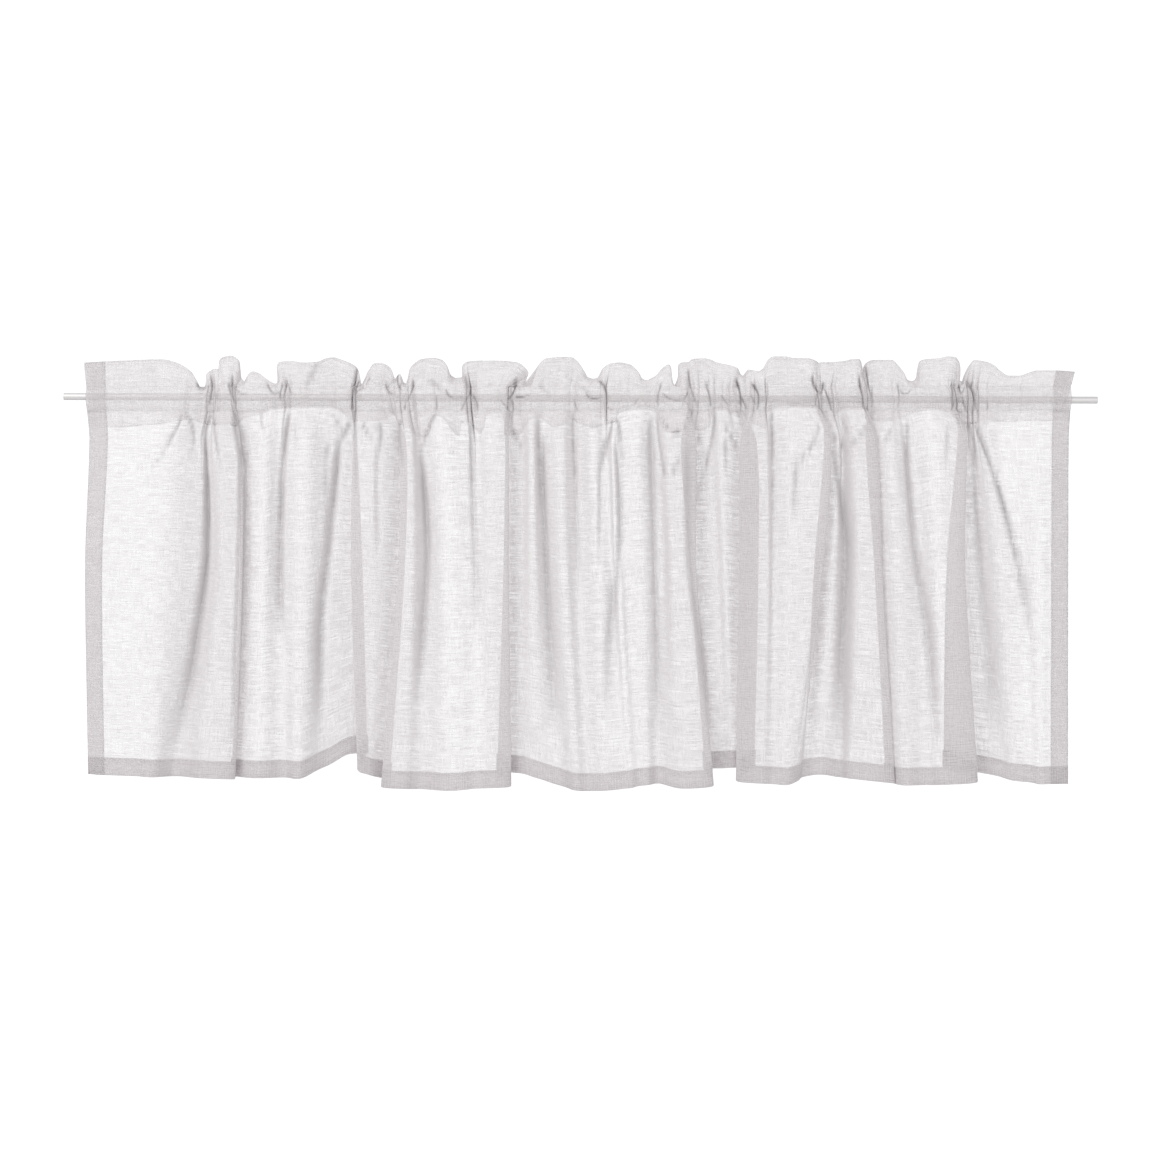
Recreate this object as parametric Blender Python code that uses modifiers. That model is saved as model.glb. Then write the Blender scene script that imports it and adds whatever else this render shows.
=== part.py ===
"""A gathered linen window valance that hangs on a slim curtain rod.

The cloth is one closed solid: a loft along the rod, whose sections run from the bottom hem up to the
heading and hold the tunnel that the rod passes through. Every fold has a row in a table below.
X runs along the rod, -Y faces the room, +Z is up, and the origin lies on the rod's axis at mid-length.
"""

from typing import NamedTuple

import bmesh
import bpy
import numpy as np

MM = 0.001

# Rod
ROD_LENGTH = 1240 * MM
ROD_DIAMETER = 8.5 * MM
ROD_SIDES = 24
ROD_EDGE = 0.4 * MM
SHARP_ANGLE = 0.6

# Cloth
CLOTH_THICKNESS = 1.2 * MM
HEM_THICKNESS = 2.0 * MM
HEM_WIDTH = 22 * MM
HEADING_THICKNESS = 1.9 * MM
ROD_CLEARANCE = 0.45 * MM

# Heights of the two rows of stitching that close the pocket, from the rod's axis
LOWER_STITCH = -17 * MM
UPPER_STITCH = 13 * MM

# Inside of the pocket: half its depth at some heights, from the lower stitching to the upper
POCKET_HEIGHTS = np.array([-9, 0, 8]) * MM
POCKET_HALF_DEPTHS = np.array([2.6, 4.3, 2.6]) * MM

# How much of a fold's depth is left at the stitching, and how far its sideways shift has come in there
STITCH_DEPTH_SHARE = 0.45
STITCH_SHIFT_SHARE = 0.26
UPPER_STITCH_DEPTH_SHARE = 0.6

# Levels on the cloth below the pocket, from the hem (0) to the lower stitching (1)
MID_LEVEL = 0.58
TOP_LEVEL = 0.92
SKIRT_ROWS = (0.0, 0.05, 0.19, 0.34, 0.48, 0.64, 0.79, 0.92)
HEM_ROWS = 2
HEADING_ROWS = (0.0, 0.5, 1.0)

# A fold turns within this share of the shorter stretch beside it
TURN = 0.62
# Stretches of cloth between two fold lines longer than this take a third column
LONG_STRETCH = 24 * MM

LINEN_COLOUR = (0.80, 0.78, 0.765, 1.0)
STEEL_COLOUR = (0.78, 0.77, 0.75, 1.0)


class Fold(NamedTuple):
    """One ridge, trough or turned edge of the skirt, followed from the rod to the hem.

    rod is its place along the rod. The other places are at the top of the skirt, at mid-height and at
    the hem, each with the cloth's depth there, negative towards the room. drop is how far the hem
    hangs below the rod's axis. All in millimetres.
    """

    rod: float
    top: float
    top_depth: float
    mid: float
    mid_depth: float
    hem: float
    hem_depth: float
    drop: float


class Ruffle(NamedTuple):
    """One crest or dip of the heading: its place along the rod, and its top edge's place, depth and height."""

    rod: float
    edge: float
    depth: float
    height: float


# Left side hem to the fold-back left of the middle, rows from left to right
FOLDS_LEFT = (
    Fold(-593, -589, -1, -594, 0, -590, 2, 451),
    Fold(-571, -568, -2, -574, -3, -571, -1, 452),
    Fold(-526, -528, -4, -534, -7, -532, -4, 453),
    Fold(-480, -485, -8, -492, -12, -506, -10, 454),
    Fold(-444, -452, 7, -450, 9, -485, 7, 454),
    Fold(-431, -433, -9, -430, -12, -452, -10, 455),
    Fold(-420, -401, -12, -402, -12, -411, -11, 456),
    Fold(-413, -412, 6, -409, 5, -418, 4, 454),
    Fold(-386, -382, -5, -382, -9, -386, -10, 455),
    Fold(-353, -358, 6, -360, 5, -356, 1, 455),
    Fold(-332, -331, -9, -332, -11, -336, -8, 456),
    Fold(-303, -306, 5, -304, 7, -308, 10, 444),
    Fold(-281, -272, 7, -272, 11, -276, 15, 428),
    Fold(-274, -264, 9, -263, 12, -256, 17, 427),
    Fold(-266, -275, -6, -274, -7, -266, -3, 445),
    Fold(-250, -245, -8, -246, -8, -251, -4, 452),
    Fold(-231, -210, 6, -211, 7, -228, 5, 460),
    Fold(-223, -217, -7, -217, -9, -237, -11, 465),
    Fold(-212, -203, -13, -201, -16, -212, -18, 467),
    Fold(-200, -190, -1, -182, -3, -188, -11, 468),
    Fold(-170, -164, -12, -157, -15, -155, -20, 469),
    Fold(-135, -130, -1, -126, -5, -122, -14, 467),
    Fold(-110, -108, -11, -107, -13, -101, -17, 466),
    Fold(-92, -84, -10, -84, -11, -81, -12, 464),
    Fold(-85, -92, 7, -92, 7, -99, 8, 449),
)

# From there to the wide fold-back right of the middle
FOLDS_MIDDLE = (
    Fold(-74, -71, 3, -71, 2, -72, 0, 450),
    Fold(-59, -58, -8, -56, -9, -52, -6, 455),
    Fold(-39, -47, 3, -40, 2, -24, -5, 464),
    Fold(-22, -24, -10, -20, -12, -4, -17, 469),
    Fold(-7, -6, 1, -2, -1, 12, -13, 470),
    Fold(12, 14, -11, 21, -13, 31, -19, 469),
    Fold(29, 30, -1, 37, -5, 54, -15, 467),
    Fold(41, 40, -12, 45, -13, 63, -17, 466),
    Fold(53, 49, 0, 55, -2, 72, -10, 464),
    Fold(71, 68, -10, 75, -11, 83, -13, 463),
    Fold(89, 85, 4, 94, 3, 93, -4, 462),
    Fold(107, 106, -9, 112, -12, 124, -15, 467),
    Fold(125, 138, -9, 139, -10, 161, -8, 464),
    Fold(133, 126, 8, 132, 8, 151, 8, 446),
    Fold(153, 154, 0, 163, 2, 173, 9, 445),
    Fold(171, 170, -8, 175, -5, 186, 6, 444),
    Fold(190, 205, 8, 215, 11, 211, 12, 444),
    Fold(203, 191, -9, 190, -11, 187, -10, 458),
)

# From there to the right side hem
FOLDS_RIGHT = (
    Fold(217, 221, -13, 223, -14, 217, -15, 461),
    Fold(231, 232, -3, 233, -6, 232, -11, 462),
    Fold(254, 255, -13, 254, -14, 247, -13, 463),
    Fold(278, 299, -11, 291, -11, 262, -4, 459),
    Fold(286, 290, 7, 282, 7, 270, 6, 455),
    Fold(295, 309, 0, 303, -3, 290, 2, 452),
    Fold(306, 315, 7, 319, 7, 311, 5, 455),
    Fold(320, 327, -10, 331, -12, 325, -7, 456),
    Fold(344, 346, 7, 357, 6, 370, 0, 460),
    Fold(366, 368, -11, 376, -14, 387, -17, 463),
    Fold(385, 392, -2, 406, -5, 414, -12, 463),
    Fold(414, 420, -12, 428, -15, 436, -19, 462),
    Fold(445, 460, -11, 460, -11, 476, -12, 459),
    Fold(452, 448, 8, 442, 10, 439, 12, 444),
    Fold(467, 470, 1, 484, 2, 503, 5, 454),
    Fold(488, 486, -8, 503, -8, 522, -1, 459),
    Fold(510, 507, -1, 527, -2, 541, 0, 461),
    Fold(545, 543, -7, 548, -9, 553, -4, 463),
    Fold(567, 565, -4, 565, -4, 566, 0, 463),
    Fold(588, 586, 0, 586, 0, 587, 2, 463),
)

FOLDS = FOLDS_LEFT + FOLDS_MIDDLE + FOLDS_RIGHT

# The heading's crests and dips, from left to right
RUFFLES_LEFT = (
    Ruffle(-593, -596, 1, 43),
    Ruffle(-572, -573, -3, 45),
    Ruffle(-526, -528, -9, 46),
    Ruffle(-480, -481, -8, 40),
    Ruffle(-446, -452, 7, 19),
    Ruffle(-436, -437, -5, 35),
    Ruffle(-424, -421, -11, 49),
    Ruffle(-413, -405, 6, 25),
    Ruffle(-392, -388, -8, 31),
    Ruffle(-362, -363, 6, 23),
    Ruffle(-352, -354, -4, 43),
    Ruffle(-330, -331, -11, 42),
    Ruffle(-303, -301, -10, 47),
    Ruffle(-281, -270, -5, 38),
    Ruffle(-272, -263, 7, 20),
    Ruffle(-250, -239, -11, 41),
    Ruffle(-229, -222, 5, 25),
    Ruffle(-217, -213, 0, 27),
    Ruffle(-208, -204, -4, 36),
    Ruffle(-180, -181, -13, 47),
    Ruffle(-150, -160, -4, 35),
    Ruffle(-141, -150, 7, 25),
    Ruffle(-135, -140, -3, 41),
    Ruffle(-110, -106, -12, 44),
    Ruffle(-94, -79, -4, 36),
    Ruffle(-82, -67, 1, 27),
    Ruffle(-68, -54, -2, 41),
    Ruffle(-39, -28, -13, 48),
    Ruffle(-10, 4, -4, 31),
)

RUFFLES_RIGHT = (
    Ruffle(21, 17, 6, 25),
    Ruffle(41, 40, -11, 41),
    Ruffle(71, 73, 1, 29),
    Ruffle(84, 82, 5, 25),
    Ruffle(101, 102, -6, 40),
    Ruffle(119, 114, 3, 21),
    Ruffle(130, 123, -3, 41),
    Ruffle(146, 147, -11, 47),
    Ruffle(170, 179, -8, 38),
    Ruffle(189, 193, 5, 28),
    Ruffle(204, 207, -5, 34),
    Ruffle(238, 234, -13, 48),
    Ruffle(270, 269, -11, 47),
    Ruffle(288, 290, 3, 40),
    Ruffle(318, 321, -11, 46),
    Ruffle(340, 339, 6, 31),
    Ruffle(364, 360, -11, 46),
    Ruffle(397, 392, 0, 28),
    Ruffle(407, 402, 6, 25),
    Ruffle(415, 406, -3, 42),
    Ruffle(432, 432, -13, 48),
    Ruffle(450, 456, 8, 24),
    Ruffle(466, 476, -9, 44),
    Ruffle(503, 511, -4, 28),
    Ruffle(540, 543, -7, 32),
    Ruffle(588, 592, 1, 33),
)

RUFFLES = RUFFLES_LEFT + RUFFLES_RIGHT


def smooth_step(share):
    """Ease from 0 to 1 with level ends."""
    return share * share * (3 - 2 * share)


def hermite(start, end, start_slope, end_slope, share):
    """The cubic from start to end with the given slopes at its ends."""
    a, b = share * share, share * share * share
    return (
        start * (2 * b - 3 * a + 1)
        + start_slope * (b - 2 * a + share)
        + end * (3 * a - 2 * b)
        + end_slope * (b - a)
    )


def along_levels(levels, values, where):
    """Values given at rising levels, joined by a smooth curve and read at where."""
    values = [np.asarray(v, dtype=float) for v in values]
    last = len(levels) - 1
    slopes = []
    for i in range(len(levels)):
        before, after = max(i - 1, 0), min(i + 1, last)
        slopes.append((values[after] - values[before]) / (levels[after] - levels[before]))
    i = min(max(int(np.searchsorted(levels, where, side="right")) - 1, 0), last - 1)
    span = levels[i + 1] - levels[i]
    share = (where - levels[i]) / span
    return hermite(values[i], values[i + 1], slopes[i] * span, slopes[i + 1] * span, share)


def fold_columns():
    """The place of each column of the mesh, counted in rows of FOLDS."""
    places = []
    for i in range(len(FOLDS) - 1):
        here, after = FOLDS[i], FOLDS[i + 1]
        stretch = max(abs(after.top - here.top), abs(after.mid - here.mid), abs(after.hem - here.hem)) * MM
        steps = 3 if stretch > LONG_STRETCH else 2
        places += [i + k / steps for k in range(steps)]
    return np.array(places + [len(FOLDS) - 1.0])


def bend_through(xs, ys, places):
    """A line in plan through fold points, read at the columns' places.

    It is rounded where it turns, and where the cloth doubles back it runs square to the rod.
    """
    points = np.column_stack([xs, ys])
    gaps = np.linalg.norm(np.diff(points, axis=0), axis=1)
    slopes = np.zeros_like(points)
    for i in range(1, len(points) - 1):
        arrive, leave = points[i] - points[i - 1], points[i + 1] - points[i]
        if arrive[0] > 0 > leave[0]:
            slopes[i] = (0, leave[1])
        elif arrive[0] < 0 < leave[0]:
            slopes[i] = (0, arrive[1])
        else:
            chord = arrive + leave
            slopes[i] = chord / max(np.linalg.norm(chord), MM) * min(gaps[i - 1], gaps[i])
    slopes[0], slopes[-1] = points[1] - points[0], points[-1] - points[-2]
    slopes *= 2 * TURN
    line = []
    for place in places:
        i = min(int(place), len(points) - 2)
        line.append(hermite(points[i], points[i + 1], slopes[i], slopes[i + 1], place - i))
    return np.array(line)


def table_column(table, name):
    """One column of a table, in metres."""
    return np.array([getattr(row, name) for row in table]) * MM


def ruffle_line(name, rod_places):
    """A column of RUFFLES read at places along the rod, eased from row to row."""
    rods, values = table_column(RUFFLES, "rod"), table_column(RUFFLES, name)
    index = np.clip(np.searchsorted(rods, rod_places, side="right") - 1, 0, len(rods) - 2)
    share = np.clip((rod_places - rods[index]) / (rods[index + 1] - rods[index]), 0, 1)
    if name != "edge":
        share = smooth_step(share)
    return values[index] * (1 - share) + values[index + 1] * share


class Cloth:
    """The valance's middle surface: its plan line at each height, and the pocket's two walls."""

    def __init__(self):
        self.places = fold_columns()
        self.rod_x = np.interp(self.places, range(len(FOLDS)), table_column(FOLDS, "rod"))
        self.drop = np.interp(self.places, range(len(FOLDS)), table_column(FOLDS, "drop"))
        self.top = self.plan_line("top")
        self.mid = self.plan_line("mid")
        self.hem = self.plan_line("hem")
        stitch_x = self.rod_x + (self.top[:, 0] - self.rod_x) * STITCH_SHIFT_SHARE
        self.stitch = np.column_stack([stitch_x, self.top[:, 1] * STITCH_DEPTH_SHARE])
        heads = {name: ruffle_line(name, self.rod_x) for name in ("edge", "depth", "height")}
        self.head = np.column_stack([heads["edge"], heads["depth"]])
        self.head_height = heads["height"]

    def plan_line(self, level):
        """The plan line through all folds at one named level."""
        return bend_through(table_column(FOLDS, level), table_column(FOLDS, level + "_depth"), self.places)

    def skirt(self, share):
        """Plan line and heights of a row of the skirt, share 0 at the hem and 1 at the lower stitching."""
        levels = (0.0, MID_LEVEL, TOP_LEVEL, 1.0)
        plan = along_levels(levels, (self.hem, self.mid, self.top, self.stitch), share)
        return plan, -self.drop + (LOWER_STITCH + self.drop) * share

    def heading(self, share):
        """Plan line and heights of a row of the heading, share 0 at the upper stitching and 1 at the top."""
        base = np.column_stack([self.rod_x, self.stitch[:, 1] * UPPER_STITCH_DEPTH_SHARE])
        plan = base * (1 - share) + self.head * share
        return plan, UPPER_STITCH + (self.head_height - UPPER_STITCH) * share


def side_steps(plan):
    """For each point of a plan line, the level unit vector square to it that points away from the room."""
    run = np.gradient(plan, axis=0)
    run /= np.linalg.norm(run, axis=1)[:, None]
    return np.column_stack([-run[:, 1], run[:, 0]])


def with_height(plan, heights):
    """Plan points and heights as points in space."""
    return np.column_stack([plan, np.broadcast_to(heights, len(plan))])


def inward(plan, heights, walls):
    """Rows of points on the pocket's two walls at one height, offset in depth by walls."""
    front, back = plan.copy(), plan.copy()
    front[:, 1] = np.minimum(plan[:, 1], 0) - walls
    back[:, 1] = np.maximum(plan[:, 1], 0) + walls
    return with_height(front, heights), with_height(back, heights)


class Sections:
    """The loft's rows of points: both faces from the hem to the top, and the tunnel's walls.

    The faces part round the tunnel between the rows numbered lower and upper.
    """

    def __init__(self, cloth):
        self.fronts, self.backs = [], []
        self.tunnel_fronts, self.tunnel_backs = [], []
        from_side = np.minimum(cloth.rod_x - cloth.rod_x[0], cloth.rod_x[-1] - cloth.rod_x)
        body = np.where(from_side <= HEM_WIDTH, HEM_THICKNESS, CLOTH_THICKNESS)
        for i, share in enumerate(SKIRT_ROWS):
            self.add_both_faces(*cloth.skirt(share), HEM_THICKNESS if i < HEM_ROWS else body)
        self.lower = len(self.fronts)
        self.add_both_faces(*cloth.skirt(1.0), HEADING_THICKNESS)
        self.add_pocket(cloth.stitch, cloth.heading(0.0)[0])
        self.upper = len(self.fronts)
        for share in HEADING_ROWS:
            self.add_both_faces(*cloth.heading(share), HEADING_THICKNESS)

    def add_both_faces(self, plan, heights, thickness):
        """Add one row, half the thickness before and behind a plan line."""
        aside = side_steps(plan) * np.reshape(thickness, (-1, 1)) / 2
        self.fronts.append(with_height(plan - aside, heights))
        self.backs.append(with_height(plan + aside, heights))

    def add_pocket(self, low_plan, high_plan):
        """Add the pocket's rows, whose walls lean with the folds but stay clear of the rod."""
        self.low_seam = with_height(low_plan, LOWER_STITCH)
        self.high_seam = with_height(high_plan, UPPER_STITCH)
        rise = (POCKET_HEIGHTS - LOWER_STITCH) / (UPPER_STITCH - LOWER_STITCH)
        for height, half, share in zip(POCKET_HEIGHTS, POCKET_HALF_DEPTHS, rise):
            plan = low_plan * (1 - share) + high_plan * share
            inside = half + ROD_CLEARANCE
            for wall, row in zip((self.tunnel_fronts, self.tunnel_backs), inward(plan, height, inside)):
                wall.append(row)
            outside = inside + CLOTH_THICKNESS
            for face, row in zip((self.fronts, self.backs), inward(plan, height, outside)):
                face.append(row)


def loft(mesh, rows):
    """Join each row of vertices to the next with faces."""
    for first, second in zip(rows, rows[1:]):
        for i in range(len(first) - 1):
            mesh.faces.new((first[i], first[i + 1], second[i + 1], second[i]))


def close_end(mesh, front, back, tunnel_front, tunnel_back, lower, upper):
    """Close one end of the cloth with a strip up its edge that parts round the tunnel."""
    low_seam, high_seam = tunnel_front[0], tunnel_front[-1]
    for i in range(len(front) - 1):
        if i + 1 == lower:
            mesh.faces.new((front[i], front[i + 1], low_seam, back[i + 1], back[i]))
        elif i == upper:
            mesh.faces.new((front[i], front[i + 1], back[i + 1], back[i], high_seam))
        elif i < lower or i > upper:
            mesh.faces.new((front[i], front[i + 1], back[i + 1], back[i]))
    for outer, wall in ((front, tunnel_front), (back, tunnel_back)):
        for i in range(len(wall) - 1):
            mesh.faces.new((outer[lower + i], outer[lower + i + 1], wall[i + 1], wall[i]))


def build_valance(collection):
    """The cloth as one closed solid with its rod pocket."""
    sections = Sections(Cloth())
    mesh = bmesh.new()

    def vertex_rows(rows):
        """Rows of points as rows of vertices."""
        return [[mesh.verts.new(point) for point in row] for row in rows]

    fronts, backs = vertex_rows(sections.fronts), vertex_rows(sections.backs)
    low_seam, high_seam = vertex_rows((sections.low_seam, sections.high_seam))
    tunnel_fronts = [low_seam, *vertex_rows(sections.tunnel_fronts), high_seam]
    tunnel_backs = [low_seam, *vertex_rows(sections.tunnel_backs), high_seam]
    for rows in (fronts, backs, tunnel_fronts, tunnel_backs):
        loft(mesh, rows)
    loft(mesh, (fronts[0], backs[0]))
    loft(mesh, (fronts[-1], backs[-1]))
    for end in (0, -1):
        edges = [[row[end] for row in rows] for rows in (fronts, backs, tunnel_fronts, tunnel_backs)]
        close_end(mesh, *edges, sections.lower, sections.upper)
    bmesh.ops.recalc_face_normals(mesh, faces=mesh.faces)
    valance = new_object("valance", mesh, collection)
    valance.data.shade_smooth()
    return valance


def new_object(name, mesh, collection):
    """Turn a bmesh into a named object in the collection."""
    data = bpy.data.meshes.new(name)
    mesh.to_mesh(data)
    mesh.free()
    piece = bpy.data.objects.new(name, data)
    collection.objects.link(piece)
    return piece


def build_rod(collection):
    """The plain rod, a cylinder along X with its cut ends slightly eased."""
    bpy.ops.mesh.primitive_cylinder_add(
        vertices=ROD_SIDES, radius=ROD_DIAMETER / 2, depth=ROD_LENGTH, rotation=(0, np.pi / 2, 0)
    )
    rod = bpy.context.active_object
    rod.name = rod.data.name = "rod"
    for holder in list(rod.users_collection):
        holder.objects.unlink(rod)
    collection.objects.link(rod)
    ease = rod.modifiers.new("eased ends", "BEVEL")
    ease.width = ROD_EDGE
    ease.segments = 1
    ease.limit_method = "ANGLE"
    rod.data.shade_smooth()
    rod.data.set_sharp_from_angle(angle=SHARP_ANGLE)
    return rod


def finish(piece, name, colour, roughness, metallic):
    """Give a piece its own material."""
    material = bpy.data.materials.new(name)
    material.use_nodes = True
    shader = material.node_tree.nodes["Principled BSDF"]
    shader.inputs["Base Color"].default_value = colour
    shader.inputs["Roughness"].default_value = roughness
    shader.inputs["Metallic"].default_value = metallic
    piece.data.materials.clear()
    piece.data.materials.append(material)


def main():
    """Clear the scene and build the cloth and its rod."""
    for old in list(bpy.data.objects):
        bpy.data.objects.remove(old, do_unlink=True)
    collection = bpy.data.collections.new("window_valance")
    bpy.context.scene.collection.children.link(collection)
    finish(build_rod(collection), "pale steel", STEEL_COLOUR, 0.3, 0.9)
    finish(build_valance(collection), "sheer linen", LINEN_COLOUR, 0.9, 0.0)


main()
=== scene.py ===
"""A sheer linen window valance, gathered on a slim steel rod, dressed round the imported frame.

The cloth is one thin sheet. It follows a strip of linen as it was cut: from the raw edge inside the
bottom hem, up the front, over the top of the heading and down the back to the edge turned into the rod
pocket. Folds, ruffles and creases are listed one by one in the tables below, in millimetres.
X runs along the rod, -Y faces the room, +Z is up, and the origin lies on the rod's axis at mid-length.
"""

from __future__ import annotations

import logging
import math
from dataclasses import dataclass, field
from enum import Enum
from typing import NamedTuple, Sequence

import bpy
import numpy as np
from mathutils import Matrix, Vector, noise

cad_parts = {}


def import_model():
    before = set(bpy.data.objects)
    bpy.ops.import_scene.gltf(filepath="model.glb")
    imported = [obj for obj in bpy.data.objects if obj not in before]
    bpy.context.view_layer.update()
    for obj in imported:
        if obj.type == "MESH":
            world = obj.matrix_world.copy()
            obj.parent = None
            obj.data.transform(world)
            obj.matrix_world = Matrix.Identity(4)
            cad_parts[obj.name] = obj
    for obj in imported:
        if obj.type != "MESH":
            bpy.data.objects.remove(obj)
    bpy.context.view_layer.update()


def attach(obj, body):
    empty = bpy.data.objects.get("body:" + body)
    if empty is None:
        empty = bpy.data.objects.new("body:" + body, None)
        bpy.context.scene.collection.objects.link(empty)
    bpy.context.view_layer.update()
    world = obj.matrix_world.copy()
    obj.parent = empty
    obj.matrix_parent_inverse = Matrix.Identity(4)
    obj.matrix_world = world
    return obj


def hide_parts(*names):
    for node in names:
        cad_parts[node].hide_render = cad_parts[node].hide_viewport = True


LOG = logging.getLogger("valance")
MM = 0.001
PHOTO_PIXELS = 1160
MM_PER_PIXEL = 1.2
Colour = tuple[float, float, float, float]


class Fold(NamedTuple):
    """One ridge, trough or turned edge of the skirt, from the rod to the hem, in millimetres."""

    rod: float
    top: float
    top_depth: float
    mid: float
    mid_depth: float
    hem: float
    hem_depth: float
    drop: float


class Ruffle(NamedTuple):
    """One crest, dip or shoulder of the heading's top edge, in millimetres."""

    rod: float
    edge: float
    depth: float
    height: float


class Crease(NamedTuple):
    """One crease seen from the room: a curve from start through bend to end, in millimetres."""

    start_x: float
    start_z: float
    bend_x: float
    bend_z: float
    end_x: float
    end_z: float
    width: float
    depth: float


class Pinch(NamedTuple):
    """One place where the cloth is bunched tight on the rod, in millimetres.

    Its creases reach the given length below the rod's pocket.
    """

    rod: float
    half: float
    depth: float
    reach: float


class Turning(NamedTuple):
    """How low the turned edge of the rod pocket hangs behind the cloth at one place, in millimetres."""

    rod: float
    height: float


class Pleat(NamedTuple):
    """One soft pleat down the skirt, pressed in with painted shade along it, through four places evenly
    spaced in height, in millimetres.
    """

    upper_z: float
    first_x: float
    second_x: float
    third_x: float
    fourth_x: float
    lower_z: float
    upper_width: float
    lower_width: float
    depth: float


FOLDS: tuple[Fold, ...] = (
    Fold(-593, -589, -1, -594, 0, -590, 2, 451),
    Fold(-571, -568, -2, -574, -3, -571, -1, 452),
    Fold(-526, -528, -4, -534, -7, -532, -4, 453),
    Fold(-480, -490, -6, -497, -9, -510, -9, 454),
    Fold(-444, -452, 5, -450, 6, -485, 6, 454),
    Fold(-431, -431, -8, -428, -10, -452, -10, 455),
    Fold(-420, -406, -11, -403, -12, -411, -11, 456),
    Fold(-413, -413, 5, -409, 5, -418, 4, 454),
    Fold(-386, -382, -5, -382, -8, -386, -10, 455),
    Fold(-353, -358, 4, -360, 3, -356, 0, 455),
    Fold(-332, -331, -7, -332, -8, -336, -8, 456),
    Fold(-303, -306, 3, -304, 5, -308, 10, 444),
    Fold(-281, -275, 6, -272, 11, -276, 15, 428),
    Fold(-274, -269, 5, -263, 12, -256, 17, 427),
    Fold(-266, -272, -4, -274, -7, -266, -3, 445),
    Fold(-250, -245, -8, -246, -8, -251, -4, 452),
    Fold(-231, -210, 6, -211, 7, -228, 5, 460),
    Fold(-223, -217, -7, -217, -9, -237, -11, 465),
    Fold(-212, -203, -13, -201, -16, -212, -18, 467),
    Fold(-200, -190, -1, -182, -3, -188, -11, 468),
    Fold(-170, -164, -12, -157, -15, -155, -20, 469),
    Fold(-135, -130, -1, -126, -5, -122, -14, 467),
    Fold(-110, -108, -11, -107, -13, -101, -17, 466),
    Fold(-92, -86, -9, -85, -11, -81, -12, 464),
    Fold(-85, -90, 5, -92, 7, -99, 8, 449),
    Fold(-74, -71, 3, -71, 2, -72, 0, 450),
    Fold(-59, -58, -8, -56, -9, -52, -6, 455),
    Fold(-39, -47, 3, -40, 2, -24, -5, 464),
    Fold(-22, -24, -10, -20, -12, -4, -17, 469),
    Fold(-7, -6, 1, -2, -1, 12, -13, 470),
    Fold(12, 14, -11, 21, -13, 31, -19, 469),
    Fold(29, 30, -4, 37, -7, 54, -16, 467),
    Fold(41, 40, -12, 45, -13, 63, -17, 466),
    Fold(53, 49, -5, 55, -7, 72, -13, 464),
    Fold(71, 68, -7, 75, -8, 83, -12, 463),
    Fold(89, 88, 2, 96, 2, 95, -4, 462),
    Fold(107, 106, -9, 112, -12, 124, -15, 467),
    Fold(125, 138, -9, 139, -10, 161, -8, 464),
    Fold(133, 121, 8, 132, 8, 151, 8, 446),
    Fold(153, 154, 0, 163, 2, 173, 9, 445),
    Fold(171, 170, -8, 175, -5, 186, 6, 444),
    Fold(190, 212, 8, 215, 11, 211, 12, 444),
    Fold(203, 191, -9, 190, -11, 187, -10, 458),
    Fold(217, 221, -13, 223, -14, 217, -15, 461),
    Fold(231, 232, -3, 233, -6, 232, -11, 462),
    Fold(254, 255, -13, 254, -14, 247, -13, 463),
    Fold(278, 299, -11, 291, -11, 262, -4, 459),
    Fold(286, 293, 6, 282, 7, 270, 6, 455),
    Fold(295, 309, 0, 303, -3, 290, 2, 452),
    Fold(306, 315, 7, 319, 7, 311, 5, 455),
    Fold(320, 327, -10, 331, -12, 325, -7, 456),
    Fold(337, 354, -8, 361, -9, 377, -12, 461),
    Fold(346, 343, 6, 354, 6, 368, 2, 459),
    Fold(366, 368, -11, 376, -14, 387, -17, 463),
    Fold(385, 392, -2, 406, -5, 414, -12, 463),
    Fold(414, 420, -12, 428, -15, 436, -19, 462),
    Fold(445, 460, -11, 460, -11, 476, -12, 459),
    Fold(452, 454, 7, 442, 10, 439, 12, 444),
    Fold(467, 470, 1, 484, 2, 503, 5, 454),
    Fold(488, 486, -8, 503, -8, 522, -1, 459),
    Fold(510, 507, -1, 527, -2, 541, 0, 461),
    Fold(545, 543, -7, 548, -9, 553, -4, 463),
    Fold(567, 565, -4, 565, -4, 566, 0, 463),
    Fold(588, 586, 0, 586, 0, 587, 2, 463),
)

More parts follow.
